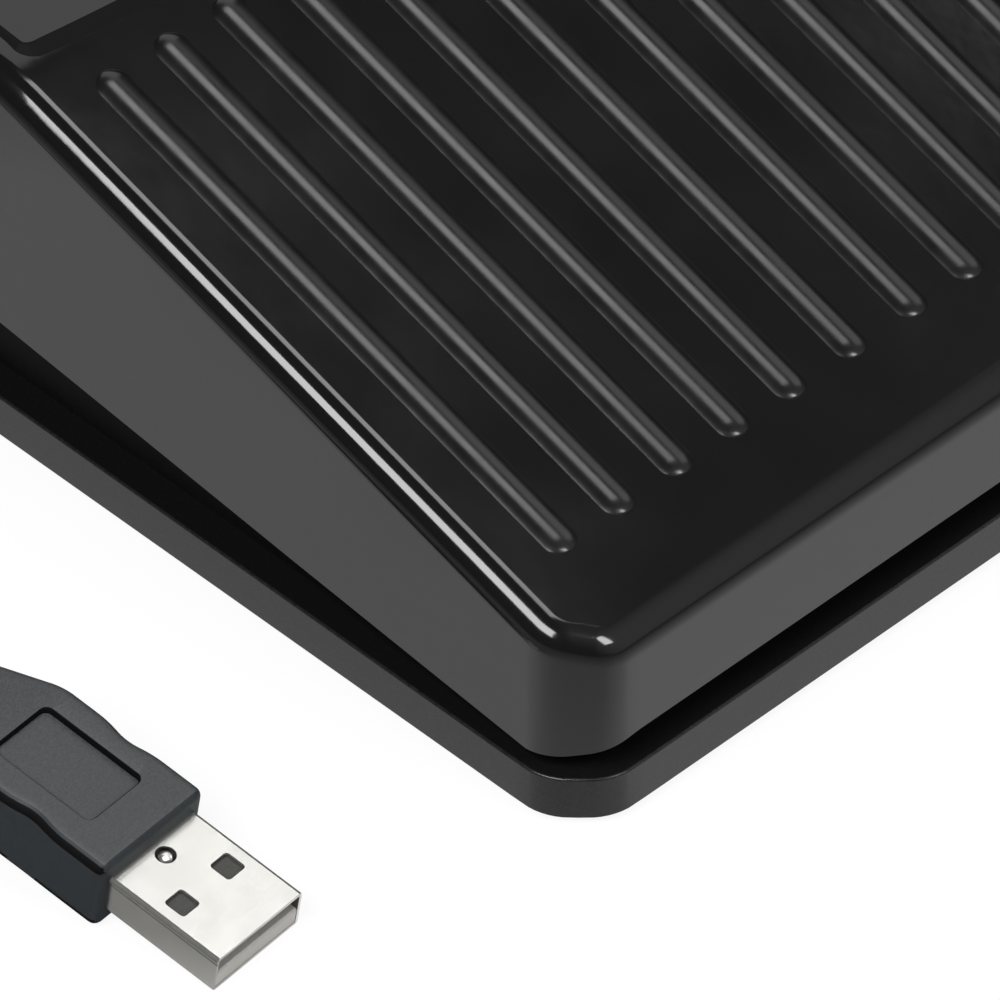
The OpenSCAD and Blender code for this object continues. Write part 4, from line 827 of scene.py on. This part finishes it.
# The root's top is dark grey: painted shade under the dimple
for face in bm.faces:
    face.material_index = 1 if face.calc_center_median().z > ROOT_TOP - 0.1 else 0
# A dark grey block under each window: painted shade seen through it
for x in (-WINDOW_X, WINDOW_X):
    prism(bm, [(BLOCK_Y0, BLOCK_LOW), (BLOCK_Y1, BLOCK_LOW), (BLOCK_Y1, BLOCK_TOP), (BLOCK_Y0 + 0.2, BLOCK_TOP),
               (BLOCK_Y0, BLOCK_TOP - 0.15)], x - BLOCK_HALF, x + BLOCK_HALF, 1)
tongue = plug_piece(bm, "plug_tongue_moulding", [white_pbt, shade_grey_pbt], "plug_tongue", "plug_insulator")
bm = bmesh.new()
for x, start in ((-3.5, 1.6), (-1, 2.4), (1, 2.4), (3.5, 1.6)):
    prism(bm, [(start, PLUG_MID), (ROOT_Y, PLUG_MID), (ROOT_Y, CONTACT_TOP), (start + 0.3, CONTACT_TOP),
               (start + 0.1, CONTACT_TOP - 0.05), (start, CONTACT_TOP - 0.15)], x - CONTACT_HALF, x + CONTACT_HALF)
contacts = plug_piece(bm, "plug_contact_strips", [gold_brass], "brass", "plug_contacts")

# Plug grip: soft PVC moulded over the shell's rear and the lead, waisted for the fingers, with a bare sunk panel on
# top and a tapered sleeve behind. Its broad faces have a fine spark-eroded grain, its sides and the panel's walls none;
# the broad faces are painted lighter and the sides and walls darker: painted light and shade.
GRIP_END, GRIP_TOP, GRIP_HALF, GRIP_EDGE, GRIP_CORNER, GRIP_BODY, GRIP_STEP = 39.5, 6.75, 7.2, 0.9, 1.2, 15, 0.5
TAPER_START, TAPER_L, TAPER_SIDE, WAIST_Y, WAIST_L, WAIST_DEEP = 31, 8.5, 2.7, 22.7, 2.9, 0.65
PANEL_HALF, PANEL_Y0, PANEL_Y1, PANEL_DEEP, PANEL_R, PANEL_LIP = 3.8, 18.3, 30.5, 0.8, 0.8, 0.14
SLEEVE_R, SLEEVE_PITCH, SLEEVE_TAPER = 3.25, 2.5, 0.16
LIT_GRAINED, SHADE_COPY, DEEP_SHADE = 0, 1, 2
# Spark-grained PVC: fine pits scatter the light, in a lighter tone: painted light. Smooth PVC: a darker copy with a
# faint sheen: painted shade. The panel's walls, its lip and the lower side edges are nearly black: painted shade.
lit_grained_pvc = skin_finish("spark_grained_painted_light_pvc", "#313233", "#404243", 0.22, (0.55, 0.7), 0.03, ior=1.53)
shade_copy_pvc = skin_finish("smooth_painted_shade_pvc", "#23282b", "#282d30", 0.5, (0.45, 0.55), 0.004, ior=1.53, specular=0.2)
deep_shade_pvc = skin_finish("painted_deep_shade_pvc", "#060606", "#090909", 0.5, (0.6, 0.7), 0.004, ior=1.53, specular=0.1)


def softened(shape, y):
    """A shape along the grip, averaged over two millimetres so that its turns are soft."""
    return sum(shape(y + d) for d in (-1, -0.5, 0, 0.5, 1)) / 5


bm = bmesh.new()
edge = [(GRIP_EDGE * (1 - sin(pi * k / 12)), GRIP_EDGE * (1 - cos(pi * k / 12))) for k in range(7)]
stations = [(inset, GRIP_FRONT + back) for inset, back in edge]
stations += [(0, GRIP_BODY + GRIP_STEP * k) for k in range(48)]
stations += [(inset, GRIP_END - back) for inset, back in edge[::-1]]
grip_rings = []
for inset, y in stations:
    taper = softened(lambda at: min(1, max(0, at - TAPER_START) / TAPER_L), y)
    waist = softened(lambda at: WAIST_DEEP * max(0, 1 - abs(at - WAIST_Y) / WAIST_L), y)
    half, low, top = GRIP_HALF - TAPER_SIDE * taper - inset, GRIP_LOW + taper + inset, GRIP_TOP - taper - inset
    grip_rings.append([bm.verts.new((x - copysign(waist * (z - low) / (top - low), x), y, z))
                       for x, z in round_box(-half, half, low, top, GRIP_CORNER - inset, 6)])
join_rings(bm, grip_rings)
# By tilt: broad faces take the lighter copy, the rounded side edges the nearly black one, the rest the darker one
for face in bm.faces:
    face.normal_update()
    tilt, side_edge = abs(face.normal.z), abs(face.normal.x) > 0.5
    face.material_index = LIT_GRAINED if tilt > 0.85 else DEEP_SHADE if side_edge and 0.1 < tilt < 0.7 else SHADE_COPY
cutter = bmesh.new()
panel_rings = []
for spread, z in ((0, GRIP_TOP - PANEL_DEEP), (0, GRIP_TOP - 0.12), (PANEL_LIP, GRIP_TOP + 0.02),
                  (PANEL_LIP, GRIP_TOP + 1)):
    panel_rings.append([cutter.verts.new((x, y, z)) for x, y in round_box(
        -PANEL_HALF - spread, PANEL_HALF + spread, PANEL_Y0 - spread, PANEL_Y1 + spread, PANEL_R + spread, 6)])
join_rings(cutter, panel_rings)
# The panel's walls and lip take the nearly black copy, painted shade; its floor takes the lighter one
for face in cutter.faces:
    face.normal_update()
    face.material_index = LIT_GRAINED if abs(face.normal.z) > 0.75 else DEEP_SHADE
bm = cut(bm, cutter)
sleeve_profile = [(GRIP_END - 1.2, POLE_R), (GRIP_END - 1.2, 3.3)]
for k in range(5):
    start, radius = GRIP_END + 0.6 + SLEEVE_PITCH * k, SLEEVE_R - SLEEVE_TAPER * k
    sleeve_profile += [(start, radius), (start + 0.25, radius - 0.45), (start + 0.9, radius - 0.47),
                       (start + 1.15, radius - 0.05)]
sleeve_profile += [(PLUG_L - 0.3, 2.45), (PLUG_L - 0.05, 2.3), (PLUG_L, 2.1), (PLUG_L, POLE_R)]
turned(bm, sleeve_profile, 40, Matrix.Translation((0, 0, PLUG_MID)) @ along_y, SHADE_COPY)
grip = plug_piece(bm, "plug_grip_moulding", [lit_grained_pvc, shade_copy_pvc, deep_shade_pvc], "plug_vinyl", "plug_grip", sharp=45)

# Floor: a wide matt white table top, plain white to the camera. What mirrors it sees a painted pool of light round
# the object, darker further out, with painted shade before the front corner and along the left side and a painted
# shadow by the plug.
FLOOR_HALF, PAINTED_POOL_R, GLOW = 3, 0.085, 0.9
CORNER_PLACE, CORNER_AHEAD = (-0.0395, -0.0565, 0), (-0.707, -0.707, 0)
PLUG_SHADOW_STRETCH, PLUG_SHADOW_SHIFT = (2, 1, 1), (0.2, 0.035, 0)
mesh = bpy.data.meshes.new("floor")
mesh.from_pydata([(x * FLOOR_HALF, y * FLOOR_HALF, 0) for x, y in ((-1, -1), (1, -1), (1, 1), (-1, 1))], [], [range(4)])
floor = new_object("floor", mesh)
white_floor, tree, shader = new_finish("white_table")
set_inputs(tree, shader, {"Base Color": linear("#f4f4f4"), "Roughness": 0.9})
place = add_node(tree, "ShaderNodeTexCoord", output="Object")
known = {socket.name: socket for socket in add_node(tree, "ShaderNodeLightPath").node.outputs}
known["from middle"] = add_node(tree, "ShaderNodeVectorMath", {0: place}, "Value", operation="LENGTH")
way = add_node(tree, "ShaderNodeVectorMath", {0: place, 1: CORNER_PLACE}, operation="SUBTRACT")
way = add_node(tree, "ShaderNodeVectorMath", {0: way}, operation="NORMALIZE")
ahead = add_node(tree, "ShaderNodeVectorMath", {0: way, 1: CORNER_AHEAD}, "Value", operation="DOT_PRODUCT")
across = add_node(tree, "ShaderNodeSeparateXYZ", {0: place}, "X")
plug_shadow_reach = add_node(tree, "ShaderNodeVectorMath", {0: place, 1: PLUG_SHADOW_STRETCH, 2: PLUG_SHADOW_SHIFT}, operation="MULTIPLY_ADD")
plug_shadow_reach = add_node(tree, "ShaderNodeVectorMath", {0: plug_shadow_reach}, "Value", operation="LENGTH")
# Each painted dimmer has a name, a measure, where on it the change starts and ends, the share of light there, and its
# kind
for name, value, start, end, first, last, change in (
        ("before corner", ahead, 0.5, 0.95, 1, 0.8, "SMOOTHSTEP"), ("on left", across, -0.05, -0.043, 0.8, 1, "LINEAR"),
        ("by plug", plug_shadow_reach, 0.025, 0.055, 0.15, 1, "LINEAR")):
    span = {"Value": value, "From Min": start, "From Max": end, "To Min": first, "To Max": last}
    known[name] = add_node(tree, "ShaderNodeMapRange", span, interpolation_type=change)
# Each sum has a name, an operation and its two terms
for name, operation, *terms in (
        ("pool", "DIVIDE", PAINTED_POOL_R, "from middle"), ("pool", "POWER", "pool", 2), ("pool", "MINIMUM", "pool", 1),
        ("pool", "MULTIPLY", "pool", "before corner"), ("pool", "MULTIPLY", "pool", "on left"),
        ("pool", "MULTIPLY", "pool", "by plug"), ("strength", "MAXIMUM", "Is Camera Ray", "pool"),
        ("seen", "MAXIMUM", "Is Glossy Ray", "Is Transmission Ray"), ("seen", "MAXIMUM", "Is Camera Ray", "seen"),
        ("share", "MULTIPLY", "seen", GLOW)):
    terms = {i: known.get(term, term) for i, term in enumerate(terms)}
    known[name] = add_node(tree, "ShaderNodeMath", terms, operation=operation)
glow = add_node(tree, "ShaderNodeEmission", {"Strength": known["strength"]})
mix = add_node(tree, "ShaderNodeMixShader", {0: known["share"], 1: shader.outputs[0], 2: glow})
set_inputs(tree, tree.nodes["Material Output"], {"Surface": mix})
mesh.materials.append(white_floor)

# Studio: a white background behind the object, and a room that is dim in front and dark above. Flat lamps face the
# front corner: a key on the left, a small one overhead, two pale cards on the right and behind, and a front spot.
ROOM_AHEAD, LAMP_AIM = (0.45, -0.75, 0.48), Vector((-0.03, -0.03, 0.03))
world = bpy.data.worlds.new("studio")
scene.world = world
world.use_nodes = True
tree = world.node_tree
camera_ray = add_node(tree, "ShaderNodeLightPath", output="Is Camera Ray")
way = add_node(tree, "ShaderNodeTexCoord", output="Generated")
ahead = add_node(tree, "ShaderNodeVectorMath", {0: way, 1: ROOM_AHEAD}, "Value", operation="DOT_PRODUCT")
span = {"Value": ahead, "From Min": 0.55, "From Max": 1.0, "To Min": 0.02, "To Max": 0.45}
dim = add_node(tree, "ShaderNodeMapRange", span, interpolation_type="SMOOTHSTEP")
strength = add_node(tree, "ShaderNodeMath", {0: camera_ray, 1: dim}, operation="MAXIMUM")
set_inputs(tree, tree.nodes["Background"], {"Strength": strength, "Color": (1, 1, 1, 1)})
# Each lamp's direction and distance, the way its length runs, its length and width, and how bright its surface is
for name, towards, distance, along, length, width, radiance in (
        ("left_key", (-0.63, -0.13, 0.77), 1.0, (0, 1, 0), 0.6, 0.42, 14.0),
        ("overhead", (0.317, 0.07, 0.948), 1.0, (0, 1, 0), 0.26, 0.3, 5.6),
        ("right_card", (0.755, -0.03, 0.656), 1.0, (0, 1, 0), 0.36, 0.42, 1.25),
        ("back_card", (0.534, 0.534, 0.656), 1.2, (0.707, -0.707, 0), 0.84, 0.69, 1.1),
        ("front_spot", (0.08, -0.73, 0.68), 1.0, (1, 0, 0), 0.2, 0.42, 13.0)):
    data = bpy.data.lights.new(name, "AREA")
    data.shape = "RECTANGLE"
    data.size, data.size_y = width, length
    data.energy = radiance * pi * width * length
    facing = Vector(towards).normalized()
    side = Vector(along).cross(facing).normalized()
    turn = Matrix((side, facing.cross(side), facing)).transposed()
    light = new_object(name, data)
    light.matrix_world = Matrix.Translation(LAMP_AIM + distance * facing) @ turn.to_4x4()
    light.visible_camera = False
